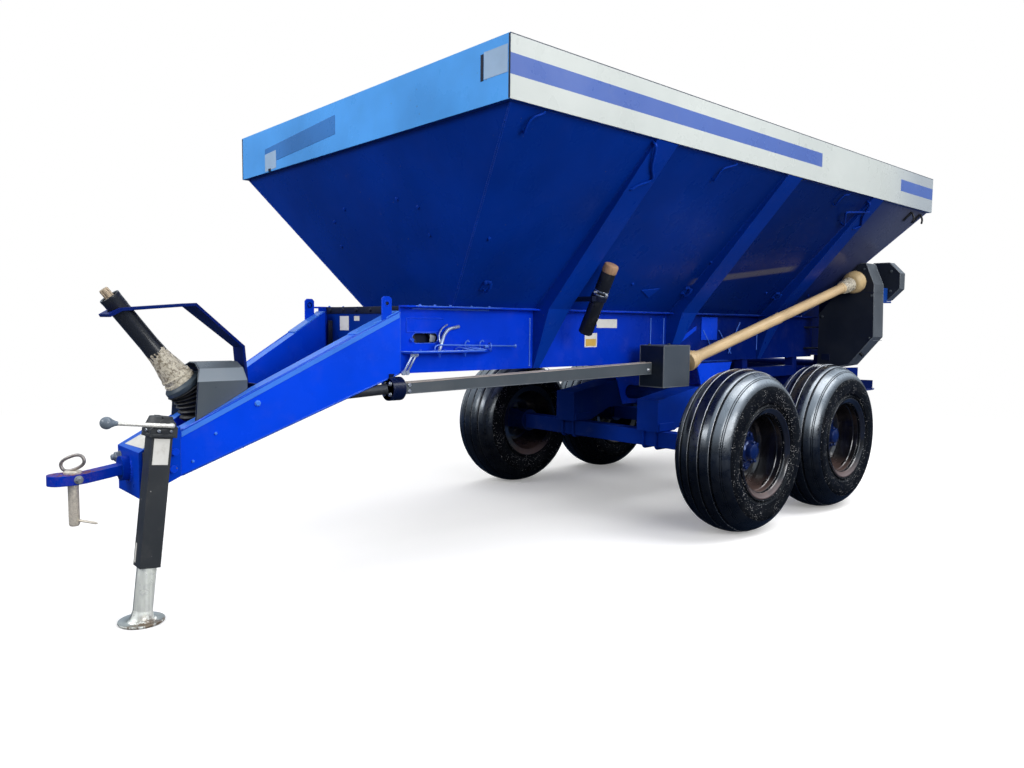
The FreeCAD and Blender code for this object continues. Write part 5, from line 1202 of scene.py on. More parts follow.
def hopper_trim():
    bm = bmesh.new()
    for side in (1, -1):
        for line in HOOKS:
            line = pushed(line, 0.016, side)
            foot = line[-1] - side_out(side) * 0.016
            tube(bm, rounded(line + [foot], 0.012), 0.0048, 10)
        for line in HANDLES:
            line = pushed(line, 0.03, side)
            drop = side_out(side) * 0.03
            tube(bm, rounded([line[0] - drop] + line + [line[-1] - drop], 0.03), 0.0062, 10)
    piece("rope_hooks", bm, rib_blue)

    bm = bmesh.new()
    for side in (1, -1):
        out = side_out(side)
        up = Vector((SIDE_LEAN * side, 0, 1.0)).normalized()
        # lugs low on the wall: a plate with a hooked bar and two bolts
        for y, z in ((-1.046, 1.256), (0.402, 1.286), (1.38, 1.29)):
            at = on_side(y, z, side)
            strap(bm, at - up * 0.028, at + up * 0.028, (0, 0.02, 0), out * 0.006)
            bar = [at - up * 0.02 + out * 0.004, at - up * 0.02 + out * 0.03, at + up * 0.012 + out * 0.036,
                   at + up * 0.034 + out * 0.028]
            tube(bm, rounded(bar, 0.01), 0.0055, 10)
            for dy in (-0.012, 0.012):
                bolt(bm, at + up * 0.018 + out * 0.006 + Y_AXIS * dy, out, 0.0045)
        corners = [on_side(y, z, side) for y, z in ((0.026, 1.273), (0.169, 1.289), (0.13, 1.24))]
        slab(bm, corners, out * 0.005, 0.001, 1)
    piece("wall_lugs", bm, rib_blue)

    bm = bmesh.new()
    for side in (1, -1):
        out = side_out(side)
        for y, z in ((0.422, 1.436), (-1.18, 1.436), (-0.08, 1.3), (1.25, 1.3), (1.8, 1.3)):
            bolt(bm, on_side(y, z, side), out, 0.0045)
        for x, z in ((0.35, 1.576), (0.221, 1.622), (0.368, 1.462)):
            bolt(bm, on_front(x * side, z), FRONT_OUT, 0.0042)
            bolt(bm, on_rear(x * side, z + 0.1), REAR_OUT, 0.0042)
    piece("wall_bolts", bm, rib_blue)

    # seams: the outside corners and both sides of each rib
    bm = bmesh.new()
    low, high = PANEL_LOW.z + 0.004, PANEL_HIGH.z - 0.003
    for side in (1, -1):
        for on_end in (on_front, on_rear):
            y0, y1 = on_end(0, low).y, on_end(0, high).y
            weld(bm, on_side(y0, low, side, -0.001), on_side(y1, high, side, -0.001), 0.0045, 0.009, 2)
        rib_points = NODES["side_ribs"].data.vertices
        ribs = sorted({round(v.co.y, 3) for v in rib_points if v.co.z > PANEL_HIGH.z - 0.02})
        for y in ribs:
            weld(bm, on_side(y, low, side), on_side(y, high - 0.004, side), 0.0028, 0.01, 3)
    piece("hopper_seams", bm, hopper_blue)

    # dark seam down each front corner of the band
    bm = bmesh.new()
    for side in (1, -1):
        xs = ((RIM_HIGH.x - 0.009) * side, (RIM_HIGH.x - 0.0005) * side)
        plate_y(bm, RIM_LOW.y, xs, (RIM_LOW.z + 0.002, RIM_HIGH.z - 0.002), -0.0006, 0.0001)
    piece("band_corner_seams", bm, seam_dark)

    # rubber latches by the rear corners
    bm = bmesh.new()
    for side in (1, -1):
        out = side_out(side)
        for y in (2.07, 2.21):
            at = on_side(y, 1.838, side)
            strap(bm, at, at - Z_AXIS * 0.05 - X_AXIS * (0.05 * side), (0, 0.011, 0), out * 0.01, 0.002)
            loop = [at + out * 0.008, at + out * 0.026 - Z_AXIS * 0.02, at + out * 0.02 - Z_AXIS * 0.05]
            tube(bm, rounded(loop, 0.01), 0.006, 10)
    piece("corner_latches", bm, black_rubber)

    # the rolled top edge of the rim
    bm = bmesh.new()
    z = RIM_HIGH.z - 0.006
    inset = 0.0045
    x, y0, y1 = RIM_HIGH.x - inset, RIM_LOW.y + inset, RIM_HIGH.y - inset
    corners = [(-x, y0, z), (x, y0, z), (x, y1, z), (-x, y1, z)]
    for a, b in zip(corners, corners[1:] + corners[:1]):
        tube(bm, [a, b], 0.0043, 8)
    piece("rim_top_edge", bm, seam_dark)
    bm = bmesh.new()
    for side in (1, -1):
        for y in (RIM_LOW.y, RIM_HIGH.y):
            inset = 0.0034
            x, at = side * (RIM_HIGH.x - inset), y + (inset if y < 0 else -inset)
            weld(bm, (x, at, RIM_LOW.z + 0.004), (x, at, RIM_HIGH.z - 0.012), 0.0024, 0.008, 5)
    piece("rim_corner_seams", bm, seam_dark)

    # plain bar and blank papers on the front of the band
    y = RIM_LOW.y
    bm = bmesh.new()
    slab(bm, [(-0.804, y, 1.89), (-0.088, y, 1.928), (-0.088, y, 2.014), (-0.804, y, 1.97)],
         (0, -0.0006, 0), 0.0001, 1)
    piece("band_plain_bar", bm, plain_blue)
    bm = bmesh.new()
    plate_y(bm, y, (0.946, 1.072), (1.941, 2.035), -PAPER, 0.0002)
    slab(bm, [(-0.804, y, 1.855), (-0.678, y, 1.862), (-0.678, y, 1.95), (-0.804, y, 1.943)],
         (0, -PAPER, 0), 0.0002, 1)
    piece("band_blank_papers", bm, shade_paper)
    bm = bmesh.new()
    plate_y(bm, y, (0.928, 0.944), (1.938, 2.03), -PAPER, 0.0002)
    plate_y(bm, y, (-0.762, -0.738), (1.8515, 1.866), -0.004, 0.001)
    piece("band_dark_clips", bm, seam_dark)


hopper_trim()


# ------------------------------------------------------------------ chassis trim
RAIL_LOW, RAIL_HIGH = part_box("chassis_rails")
WEB_X = RAIL_HIGH.x - 0.05
BEAM_LOW, BEAM_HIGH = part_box("drawbar_beams")
NOSE_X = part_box("drawbar_nose")[1].x
INNER_X = 0.3425                  # the rails' webs seen from inside
TAB_HOLE_Y, TAB_HOLE_Z = -1.475, 1.166
BEAM_UNDER, BEAM_TOP = 0.503, 0.674      # heights at the beams' front end


def on_beam(y, side, rise):
    """A point on a drawbar beam's outer face; rise goes from its underside (0) to its top (1)."""
    share = (y - BEAM_LOW.y) / (BEAM_HIGH.y - BEAM_LOW.y)
    x = NOSE_X + share * (BEAM_HIGH.x - NOSE_X)
    under = BEAM_UNDER + share * (RAIL_LOW.z - BEAM_UNDER)
    top = BEAM_TOP + share * (BEAM_HIGH.z - BEAM_TOP)
    return Vector((x * side, y, under + rise * (top - under)))


def beam_out(side):
    """The way straight off a beam's outer face."""
    lean = Vector((BEAM_HIGH.y - BEAM_LOW.y, NOSE_X - BEAM_HIGH.x, 0)).normalized()
    return Vector((lean.x * side, lean.y, 0))


def chassis_trim():
    bm = bmesh.new()
    for side in (1, -1):
        out = beam_out(side)
        # rounded lips along the beam's top and bottom edges
        for share, size in ((1.0, 0.0075), (0.0, 0.005)):
            a = on_beam(BEAM_LOW.y + 0.004, side, share) - out * size * 0.75
            b = on_beam(BEAM_HIGH.y - 0.004, side, share) - out * size * 0.75
            drop = Z_AXIS * (size * (0.55 if share else -0.55))
            tube(bm, [a - drop, b - drop], size, 10)
        # seam where the beam meets the rail
        x, y = side * (WEB_X + 0.002), BEAM_HIGH.y + 0.001
        weld(bm, (x, y, RAIL_LOW.z + 0.006), (x, y, BEAM_HIGH.z - 0.004), 0.0026, 0.009, 4)
    piece("beam_lips", bm, lip_blue)

    # the lighter strip along the top of each beam's outer face: a painted highlight of the folded edge
    bm = bmesh.new()
    for side in (1, -1):
        a = on_beam(BEAM_LOW.y + 0.003, side, 1.0)
        b = on_beam(BEAM_HIGH.y - 0.003, side, 1.0)
        under, top = Z_AXIS * 0.026, Z_AXIS * 0.003
        slab(bm, [a - under, b - under, b - top, a - top], beam_out(side) * 0.0016, 0.0005, 1)
    piece("beam_top_strips", bm, strip_blue)

    # Bolts in the paler blue: painted glints.
    bm = bmesh.new()
    for side in (1, -1):
        out = beam_out(side)
        bolt(bm, on_beam(-1.98, side, 0.72), out, 0.006)
        for y, share in ((-2.13, 0.55), (-2.21, 0.2)):
            bolt(bm, on_beam(y, side, share), out, 0.003)
    piece("beam_bolts", bm, strip_blue)

    # top cover plates over the beams' rear ends, and a tab with a hole
    # The cover plates are in the paler blue too: painted highlight on their upward faces.
    bm = bmesh.new()
    for side in (1, -1):
        a = on_beam(-1.6, side, 1.0)
        b = on_beam(-1.424, side, 1.0)
        inward = X_AXIS * (-0.07 * side)
        slab(bm, [a, b, b + inward, a + inward], (0, -0.002, 0.005), 0.0012, 1)
    piece("beam_top_plates", bm, strip_blue)
    bm = bmesh.new()
    for side in (1, -1):
        x = side * 0.33
        outline = ((-1.499, 1.096), (-1.451, 1.112), (-1.451, 1.186), (-1.461, 1.196), (-1.489, 1.196),
                   (-1.499, 1.186))
        slab(bm, [(x, y, z) for y, z in outline], (0.008 * side, 0, 0), 0.0012, 1)
        lathe(bm, [(0.0, 0.008), (0.0095, 0.008), (0.0095, 0.013), (0.0, 0.013)],
              (x, TAB_HOLE_Y, TAB_HOLE_Z), X_AXIS * side, 20, wrap=True)
    piece("beam_tabs", bm, machine_blue)
    # A dark disc in each tab's hole: painted shade.
    bm = bmesh.new()
    for side in (1, -1):
        x = side * 0.338
        lathe(bm, [(0.0, 0.0), (0.0008, 0.0078), (0.0012, 0.0)], (x, TAB_HOLE_Y, TAB_HOLE_Z),
              X_AXIS * side, 18)
    piece("tab_holes", bm, seam_dark)

    # weld beads on the rails' webs, under the top flange and at the ribs, in a paler blue: painted highlight
    bm = bmesh.new()
    for side in (1, -1):
        x = side * (WEB_X + 0.0015)
        weld(bm, (x, -1.36, RAIL_HIGH.z - 0.012), (x, -0.93, RAIL_HIGH.z - 0.012), 0.0045, 0.01, 7)
        for y, high, low in ((-0.666, 1.116, 0.884), (0.28, 1.128, 0.975), (0.401, 1.129, 0.974),
                             (1.421, 1.112, 0.932)):
            weld(bm, (x, y, high), (x, y, low), 0.0032, 0.009, 8)
        zigzag = ((0.792, 1.06, 0.872, 0.967), (0.96, 1.06, 1.107, 0.912), (1.201, 1.11, 1.15, 1.04),
                  (1.15, 1.04, 1.077, 0.913))
        for y0, z0, y1, z1 in zigzag:
            weld(bm, (x + side * 0.005, y0, z0), (x + side * 0.005, y1, z1), 0.0036, 0.009, 9)
        x, z = side * 0.366, PANEL_LOW.z - 0.001
        weld(bm, (x, -1.13, z), (x, 1.96, z), 0.003, 0.012, 10)
    # A pale line along each rail's top flange edge: painted highlight.
    for side in (1, -1):
        x, z = side * (RAIL_HIGH.x - 0.0016), RAIL_HIGH.z - 0.0022
        tube(bm, [(side * (WEB_X + 0.008), BEAM_HIGH.y + 0.004, z), (x, -1.372, z), (x, -0.9, z)], 0.0024,
             8)
        for y in (-1.34, -1.262, -1.178, -1.06, -0.955):
            bolt(bm, (side * (RAIL_HIGH.x - 0.016), y, RAIL_HIGH.z), Z_AXIS, 0.0034)
    piece("rail_welds", bm, pale_weld)

    bm = bmesh.new()
    for side in (1, -1):
        # stiffener plates and gussets on the web
        x = side * WEB_X
        out = X_AXIS * (0.006 * side)
        plate_x(bm, x, (0.776, 0.945), (1.0, 1.14), 0.006 * side, 0.001)
        slab(bm, [(x, 0.549, 0.98), (x, 0.549, 1.006), (x, 0.716, 1.085), (x, 0.716, 1.06)], out * 1.5,
             0.001, 1)
        # three sides of a raised border
        y0, y1, z0, z1 = -1.386, -1.19, 1.048, 1.107
        for a, b in (((y0, z0), (y0, z1)), ((y0, z1), (y1, z1)), ((y0, z0), (y1, z0))):
            tube(bm, [(x, *a), (x, *b)], 0.0035, 8)
    piece("web_stiffeners", bm, machine_blue)

    # slot liners and a pale slide inside each slot
    bm = bmesh.new()
    y0, y1, z0, z1 = -1.358, -1.22, 0.999, 1.044
    r = (z1 - z0) / 2
    half_turn = [math.pi * k / 11 for k in range(12)]
    middle = (z0 + z1) / 2
    for side in (1, -1):
        ring = [(y1 - r + r * math.sin(t), middle - r * math.cos(t)) for t in half_turn]
        ring += [(y0 + r - r * math.sin(t), middle + r * math.cos(t)) for t in half_turn]
        tube(bm, [(side * (WEB_X + 0.0005), a, b) for a, b in ring], 0.0022, 8, wrap=True)
    piece("slot_edges", bm, lip_blue)
    # Dark blocks behind each slot: painted shade inside it.
    bm = bmesh.new()
    for deep, near, y_from, y_to, past in ((0.06, 0.052, -1.305, -1.255, 0.01),
                                           (0.064, 0.0605, -1.4, -1.18, 0.05)):
        for x0, x1 in ((WEB_X - deep, WEB_X - near), (near - WEB_X, deep - WEB_X)):
            block(bm, (x0, y_from, z0 - past), (x1, y_to, z1 + past))
    piece("slot_backing", bm, seam_dark)
    bm = bmesh.new()
    for side in (1, -1):
        x = side * INNER_X
        slab(bm, [(x, -1.262, 1.003), (x, -1.232, 1.006), (x, -1.228, 1.028), (x, -1.258, 1.038)],
             (0.003 * side, 0, 0), 0.0008, 2)
    piece("slot_slides", bm, dull_zinc)
    # Near-black navy plates at the rails' rear: painted shade.
    bm = bmesh.new()
    for side in (1, -1):
        x = side * INNER_X
        for outline in (((2.181, 0.905), (2.33, 0.905), (2.33, 1.262), (2.318, 1.271), (2.181, 1.225)),
                        ((2.03, 1.1595), (2.182, 1.1595), (2.182, 1.225), (2.055, 1.175))):
            slab(bm, [(x, y, z) for y, z in outline], (side * 0.008, 0, 0), 0.001, 1)
    piece("tail_plates", bm, rear_navy)

    # levers on the shelf: curved handle, cross rod with ring and end ball, hooks, small links
    bm = bmesh.new()
    thick = [(0.38, -1.236, 0.962), (0.38, -1.222, 1.0), (0.37, -1.202, 1.035), (0.362, -1.172, 1.061),
             (0.356, -1.109, 1.072)]
    tube(bm, rounded(thick, 0.03), 0.0078, 14)
    thin = [(0.38, -1.232, 1.004), (0.372, -1.232, 1.036), (0.362, -1.205, 1.066), (0.352, -1.17, 1.08)]
    tube(bm, rounded(thin, 0.02), 0.0034, 8)
    piece("curved_handle", bm, pale_steel)
    bm = bmesh.new()
    rod = [(0.384, -1.262, 0.968), (0.384, -1.258, 0.99), (0.388, -1.225, 0.992), (0.39, -0.8, 0.983)]
    tube(bm, rounded(rod, 0.012), 0.0036, 10)
    lathe(bm, [(-0.006, 0.0), (-0.006, 0.006), (-0.003, 0.0085), (0.004, 0.0085), (0.007, 0.005),
               (0.007, 0.0)], (0.39, -0.797, 0.983), Y_AXIS, 20)
    ring = circle((0.388, -0.952, 0.982), Y_AXIS + X_AXIS * 0.3, 0.017, 20)
    tube(bm, ring, 0.0028, 8, wrap=True)
    lathe(bm, [(-0.01, 0.0), (-0.01, 0.009), (0.01, 0.009), (0.01, 0.0)], (0.388, -0.976, 0.982), Y_AXIS,
          16)
    for y in (-1.085, -1.0):
        hook = [(0.378, y, 0.962), (0.378, y - 0.004, 1.0), (0.384, y + 0.006, 1.012),
                (0.39, y + 0.01, 1.004)]
        tube(bm, rounded(hook, 0.006), 0.0034, 8)
    for y in (-1.13, -1.085, -1.055):
        link = [(0.356, y, 0.968), (0.372, y + 0.006, 0.982), (0.398, y + 0.03, 0.974),
                (0.402, y + 0.07, 0.968)]
        tube(bm, rounded(link, 0.01), 0.003, 8)
    # A pale rod along the shelf's front edge: painted highlight.
    tube(bm, [(0.404, -1.392, 0.965), (0.404, -0.998, 0.965)], 0.0036, 8)
    tube(bm, [(0.404, -1.392, 0.9655), (0.356, -1.416, 0.9655)], 0.0022, 8)
    piece("shelf_levers", bm, pale_weld)
    bm = bmesh.new()
    for y in (-1.236, -1.094):
        bolt(bm, (0.384, y, 0.958), -Z_AXIS, 0.0045, shank=0.012)
    for y in (-1.33, -1.2, -0.99):
        bolt(bm, (0.372, y, 0.966), Z_AXIS, 0.004)
    bolt(bm, (0.355, -1.362, 1.013), X_AXIS, 0.005)
    piece("shelf_bolts", bm, lip_blue)
    bm = bmesh.new()
    for y in (-1.378, -1.36):
        tube(bm, [(0.388, y, 0.956), (0.372, y - 0.04, 0.872)], 0.0048, 10)
        for z, yy, xx in ((0.952, y - 0.002, 0.387), (0.876, y - 0.038, 0.373)):
            lathe(bm, [(-0.005, 0.0), (-0.005, 0.01), (0.005, 0.01), (0.005, 0.0)], (xx, yy, z), X_AXIS, 16)
    piece("hanging_links", bm, pale_steel)

    # plates left blank on the left web and on the front cross member
    bm = bmesh.new()
    x = WEB_X + 0.0002
    plate_x(bm, x, (-0.178, -0.014), (1.07, 1.117), 0.0008, 0.0002)
    plate_x(bm, x, (-0.27, -0.174), (0.969, 1.043), 0.0008, 0.0002)
    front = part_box("chassis_cross_members")[0].y
    plate_y(bm, front, (-0.215, -0.134), (1.048, 1.115), -PAPER, 0.0002)
    plate_y(bm, front, (-0.086, -0.039), (1.093, 1.115), -PAPER, 0.0002)
    piece("web_blank_plates", bm, paper)
    bm = bmesh.new()
    block(bm, (-0.338, front - 0.004, 1.126), (0.338, front + 0.002, 1.158))
    for across in (-0.3, -0.18, -0.06, 0.06, 0.18, 0.3):
        bolt(bm, (across, front - 0.004, 1.142), -Y_AXIS, 0.0045)
    piece("front_cross_strip", bm, seam_dark)
    bm = bmesh.new()
    plate_x(bm, x + 0.0008, (-0.262, -0.182), (0.975, 1.012), 0.0004, 0.0001)
    piece("web_amber_panel", bm, amber_film)


chassis_trim()


# ------------------------------------------------------------------ side drive line
def side_drive():
    # cross shaft bearing: ribbed dark cylinder and its bolts
    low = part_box("shaft_bearing")[0]
    guard_low, guard_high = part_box("side_shaft_guard")
    bm = bmesh.new()
    shaft_x, guard_x = 0.335, 0.357
    centre = Vector((shaft_x, low.y, low.z + 0.05))
    lathe(bm, [(0.0, 0.0), (0.0, 0.046), (0.004, 0.0505), (0.012, 0.0505), (0.014, 0.047), (0.022, 0.047),
               (0.024, 0.0505), (0.034, 0.0505), (0.036, 0.047), (0.044, 0.047), (0.046, 0.0505),
               (0.058, 0.0505), (0.0615, 0.046), (0.0615, 0.0)], centre, Y_AXIS, 40)
    piece("bearing_housing", bm, bearing_blue)
    bm = bmesh.new()
    bolt_circle(bm, centre, X_AXIS, Z_AXIS, 0.032, 4, -Y_AXIS, 0.005)
    for dz in (-0.012, 0.014):
        bolt(bm, (guard_x, guard_low.y + 0.03, centre.z + dz), X_AXIS, 0.0055)
    bolt(bm, (guard_x, guard_low.y + 0.075, centre.z + 0.004), X_AXIS, 0.005)
    start = Vector((shaft_x, guard_low.y, centre.z))
    end = Vector((0.5, guard_high.y, 0.857))
    run = end - start
    out = Vector((run.y, -run.x, 0)).normalized()
    bolt(bm, start + run * 0.985 + out * 0.0228 - Z_AXIS * 0.008, out, 0.0055)
    piece("guard_bolts", bm, bright_steel)
    # rolled edges along the side shaft's guard; the top pair painted pale as a highlight
    for h0, h1, finish, which in ((0.024, 0.032, worn_edge, "top"), (-0.023, -0.031, edge_grey, "low")):
        bm = bmesh.new()
        for w in (-0.0225, 0.0225):
            a = start + out * w * 0.98 + Z_AXIS * h0 * 0.97
            b = end + out * w * 0.98 + Z_AXIS * h1 * 0.97
            tube(bm, [a, b - run.normalized() * 0.002], 0.0024, 8)
        piece("guard_edges_" + which, bm, finish)

    # joint guard: rounded edges and two bolts
    low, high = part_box("joint_guard")
    bm = bmesh.new()
    s = 0.0032
    xs, ys, zs = [(a + s * 0.6, b - s * 0.6) for a, b in zip(low, high)]
    for x in xs:
        for y in ys:
            tube(bm, [(x, y, zs[0]), (x, y, zs[1])], s, 8)
        for z in zs:
            tube(bm, [(x, ys[0], z), (x, ys[1], z)], s, 8)
    for y in ys:
        for z in zs:
            tube(bm, [(xs[0], y, z), (xs[1], y, z)], s, 8)
    piece("joint_guard_edges", bm, edge_grey)
    bm = bmesh.new()
    for y in (low.y + 0.03, high.y - 0.03):
        bolt(bm, ((low.x + high.x) / 2 - 0.04, y, high.z), Z_AXIS, 0.0045)
    piece("joint_guard_bolts", bm, guard_grey)

    # inclined shaft guard: cones, ribs, ring and yokes
    a = Vector((0.573, 0.325, 0.889))
    b = Vector((0.738, 2.022, 1.402))
    axis = (b - a).normalized()
    length = (b - a).length
    bm = bmesh.new()
    tube_r = 0.032
    lower = [(-0.002, 0.046), (0.0, 0.054), (0.006, 0.056), (0.014, 0.056), (0.018, 0.0525),
             (0.03, 0.051), (0.034, 0.053), (0.042, 0.052), (0.046, 0.0475), (0.058, 0.0435),
             (0.062, 0.0445), (0.07, 0.0425), (0.076, 0.038), (0.09, 0.035), (0.1, 0.0335),
             (0.104, tube_r)]
    middle = ((0.46, tube_r), (0.463, tube_r + 0.0016), (0.49, tube_r + 0.0016), (0.493, tube_r - 0.001))
    middle = [(length * share, size) for share, size in middle]

    def from_top(*steps):
        """Steps measured down from the guard's upper end."""
        return [(length - down, size) for down, size in steps]

    upper = from_top((0.215, tube_r - 0.001), (0.211, 0.035), (0.194, 0.036), (0.19, 0.033), (0.185, 0.0))
    lathe(bm, [(-0.002, 0.0)] + lower + middle + upper, a, axis, 48)
    piece("inclined_guard", bm, tan_plastic, ["cardan_guard", "cardan_stubs"])
    bm = bmesh.new()
    lumpy(bm, from_top((0.2, 0.03), (0.19, 0.04), (0.178, 0.043), (0.168, 0.037), (0.16, 0.038),
                       (0.15, 0.046), (0.14, 0.047), (0.13, 0.038)), a, axis, 36, 0.002, 15)
    lathe(bm, from_top((0.15, 0.0), (0.15, 0.03), (0.14, 0.036), (0.132, 0.0375), (0.124, 0.034),
                       (0.118, 0.04), (0.112, 0.043), (0.104, 0.04), (0.098, 0.044), (0.088, 0.052),
                       (0.078, 0.0505), (0.07, 0.0)), a, axis, 40)
    lumpy(bm, from_top((0.128, 0.03), (0.12, 0.041), (0.108, 0.046), (0.094, 0.046), (0.086, 0.03)), a,
          axis, 36, 0.0022, 12)
    piece("upper_yoke", bm, greasy)
    bm = bmesh.new()
    lathe(bm, from_top((0.096, 0.0), (0.096, 0.05), (0.09, 0.06), (0.078, 0.068), (0.064, 0.072),
                       (0.056, 0.0725), (0.053, 0.07), (0.049, 0.073), (0.034, 0.0745), (0.018, 0.0725),
                       (0.006, 0.067), (-0.001, 0.056), (-0.001, 0.0)), a, axis, 48)
    piece("upper_cup", bm, cup_tan)
    bm = bmesh.new()
    lathe(bm, [(-0.02, 0.0), (-0.02, 0.02), (0.004, 0.02), (0.004, 0.0)], a, axis, 24)
    lathe(bm, from_top((0.002, 0.0), (0.002, 0.028), (-0.01, 0.028), (-0.022, 0.022), (-0.022, 0.0)), a,
          axis, 24)
    piece("inclined_shaft_ends", bm, bare_steel)


side_drive()


# ------------------------------------------------------------------ chain case and sprocket guard
def chain_case():
    low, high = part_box("chain_case")
    outline = [(0.47, 0.783), (0.69, 0.828), (0.853, 1.024), (0.843, 1.378), (0.783, 1.52), (0.745, 1.52)]
    bm = bmesh.new()
    s = 0.003
    for y in (low.y + s * 0.6, high.y - s * 0.6):
        middle = Vector((0.66, y, 1.15))
        line = [Vector((x, y, z)) for x, z in outline]
        for p, q in zip(line, line[1:]):
            tube(bm, [end + (middle - end).normalized() * s * 0.5 for end in (p, q)], s, 8)
    # joint lines across the strip
    joint_z = 1.323
    for x, z in ((0.8455, joint_z), (0.8505, 1.0)):
        tube(bm, [(x, low.y + 0.003, z), (x, high.y - 0.003, z)], 0.0016, 6)
    piece("case_edges", bm, edge_grey)
    bm = bmesh.new()
    tube(bm, [(0.602, low.y - 0.0004, joint_z), (0.846, low.y - 0.0004, joint_z)], 0.0014, 6)
    slab(bm, [(0.5, low.y, 0.86), (0.56, low.y, 0.85), (0.56, low.y, 0.9), (0.5, low.y, 0.9)],
         (0, -0.0025, 0), 0.0008, 1)
    piece("case_seam", bm, seam_dark)
    # A dark plate filling the gap behind the case: painted shade.
    bm = bmesh.new()
    gap = ((0.47, 1.15), (0.412, 1.16), (0.412, 1.262), (0.47, 1.31), (0.545, 1.38), (0.64, 1.44),
           (0.7, 1.47), (0.6, 1.33))
    slab(bm, [(x, 2.15, z) for x, z in gap], (0, 0.03, 0), 0.001, 1)
    piece("case_back_plate", bm, seam_dark)
    bm = bmesh.new()
    for x, z in ((0.833, 1.017), (0.5, 0.815), (0.5, 1.16), (0.78, 1.48), (0.64, 1.33), (0.835, 1.3)):
        bolt(bm, (x - 0.006, low.y, z), -Y_AXIS, 0.004)
        bolt(bm, (x - 0.006, high.y, z), Y_AXIS, 0.005)
    piece("case_bolts", bm, guard_grey)
    bm = bmesh.new()
    lathe(bm, [(0.0, 0.012), (0.004, 0.012), (0.006, 0.007), (0.012, 0.007), (0.014, 0.012),
               (0.024, 0.012), (0.027, 0.009), (0.027, 0.0)], (0.7585, low.y + 0.03, 0.9108),
          Vector((0.769, 0, -0.639)), 24)
    piece("case_knob", bm, black_plastic)

    low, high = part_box("sprocket_guard")
    centre = Vector(((low.x + high.x) / 2, 0, (low.z + high.z) / 2))
    tall = (high.z - low.z) / 2
    corners = []
    for v in NODES["sprocket_guard"].data.vertices:
        p = Vector((v.co.x, 0, v.co.z))
        if abs(v.co.y - high.y) < 1e-3 and (p - centre).length > tall * 0.95:
            corners.append(p)
    corners.sort(key=lambda p: math.atan2(p.z - centre.z, p.x - centre.x))
    bm = bmesh.new()
    for y in (high.y - s * 0.6, high.y - 0.078):
        ends = [Vector((p.x, y, p.z)) + (centre - p).normalized() * s * 0.5 for p in corners]
        for p, q in zip(ends, ends[1:] + ends[:1]):
            tube(bm, [p, q], s, 8)
    piece("octagon_edges", bm, edge_grey)
    bm = bmesh.new()
    for y, away in ((high.y, Y_AXIS), (high.y - 0.08, -Y_AXIS)):
        bolt_circle(bm, centre + Y_AXIS * y, X_AXIS, Z_AXIS, 0.095, 4, away, 0.0052)
    piece("octagon_bolts", bm, guard_grey)
    bm = bmesh.new()
    x, z = centre.x + 0.045, low.z - 0.02
    y0, y1 = 2.191, 2.33
    plate_x(bm, x - 0.004, (y0, y1), (z + 0.012, z + 0.1), 0.008, 0.001)
    slab(bm, [(x - 0.05, y0, z), (x + 0.004, y0, z), (x + 0.004, y1, z), (x - 0.05, y1, z)], (0, 0, 0.01),
         0.0015, 1)
    lathe(bm, [(0.0, 0.0), (0.0, 0.022), (0.01, 0.024), (0.04, 0.024), (0.05, 0.02), (0.05, 0.0)],
          (x - 0.024, 2.262, z + 0.01), Z_AXIS, 24)
    piece("octagon_bracket", bm, octagon_blue)


chain_case()


# ------------------------------------------------------------------ document canister
def canister():
    foot = Vector((0.507, -0.44, 1.045))
    top = Vector((0.672, -0.44, 1.373))
    axis = (top - foot).normalized()
    length = (top - foot).length
    bm = bmesh.new()
    lathe(bm, [(0.0, 0.0), (0.0, 0.031), (0.004, 0.0345), (0.01, 0.0355), (0.014, 0.0345), (0.02, 0.0355),
               (length * 0.52, 0.0345), (length * 0.525, 0.0358), (length - 0.052, 0.0358),
               (length - 0.05, 0.0352), (length - 0.044, 0.0352), (length - 0.042, 0.0)], foot, axis, 48)
    piece("canister_body", bm, black_plastic, ["document_canister"])
    bm = bmesh.new()
    cap = [(length - 0.044, 0.0), (length - 0.044, 0.034), (length - 0.04, 0.0358),
           (length - 0.01, 0.0358), (length - 0.004, 0.0335), (length - 0.001, 0.028), (length, 0.0)]
    lathe(bm, cap, foot, axis, 48)
    side, other = frame_of(axis)
    for c, n in turns(18):
        away = foot + (side * c + other * n) * 0.0352
        tube(bm, [away + axis * (length - 0.037), away + axis * (length - 0.012)], 0.0014, 6)
    piece("canister_cap", bm, cap_tan)
    bm = bmesh.new()
    at = length * 0.6
    for band in (at - 0.009, at + 0.009):
        start, end = band - 0.0032, band + 0.0032
        lathe(bm, [(start, 0.0345), (start, 0.0368), (end, 0.0368), (end, 0.0345)], foot, axis, 48,
              wrap=True)
    out = X_AXIS * 0.7 - Z_AXIS * 0.35
    out = (out - axis * out.dot(axis)).normalized()
    bolt(bm, foot + axis * at + out * 0.037, out, 0.0045)
    bolt(bm, foot + axis * at - Y_AXIS * 0.037, -Y_AXIS, 0.004, shank=0.008)
    piece("canister_strap", bm, bright_steel)


canister()


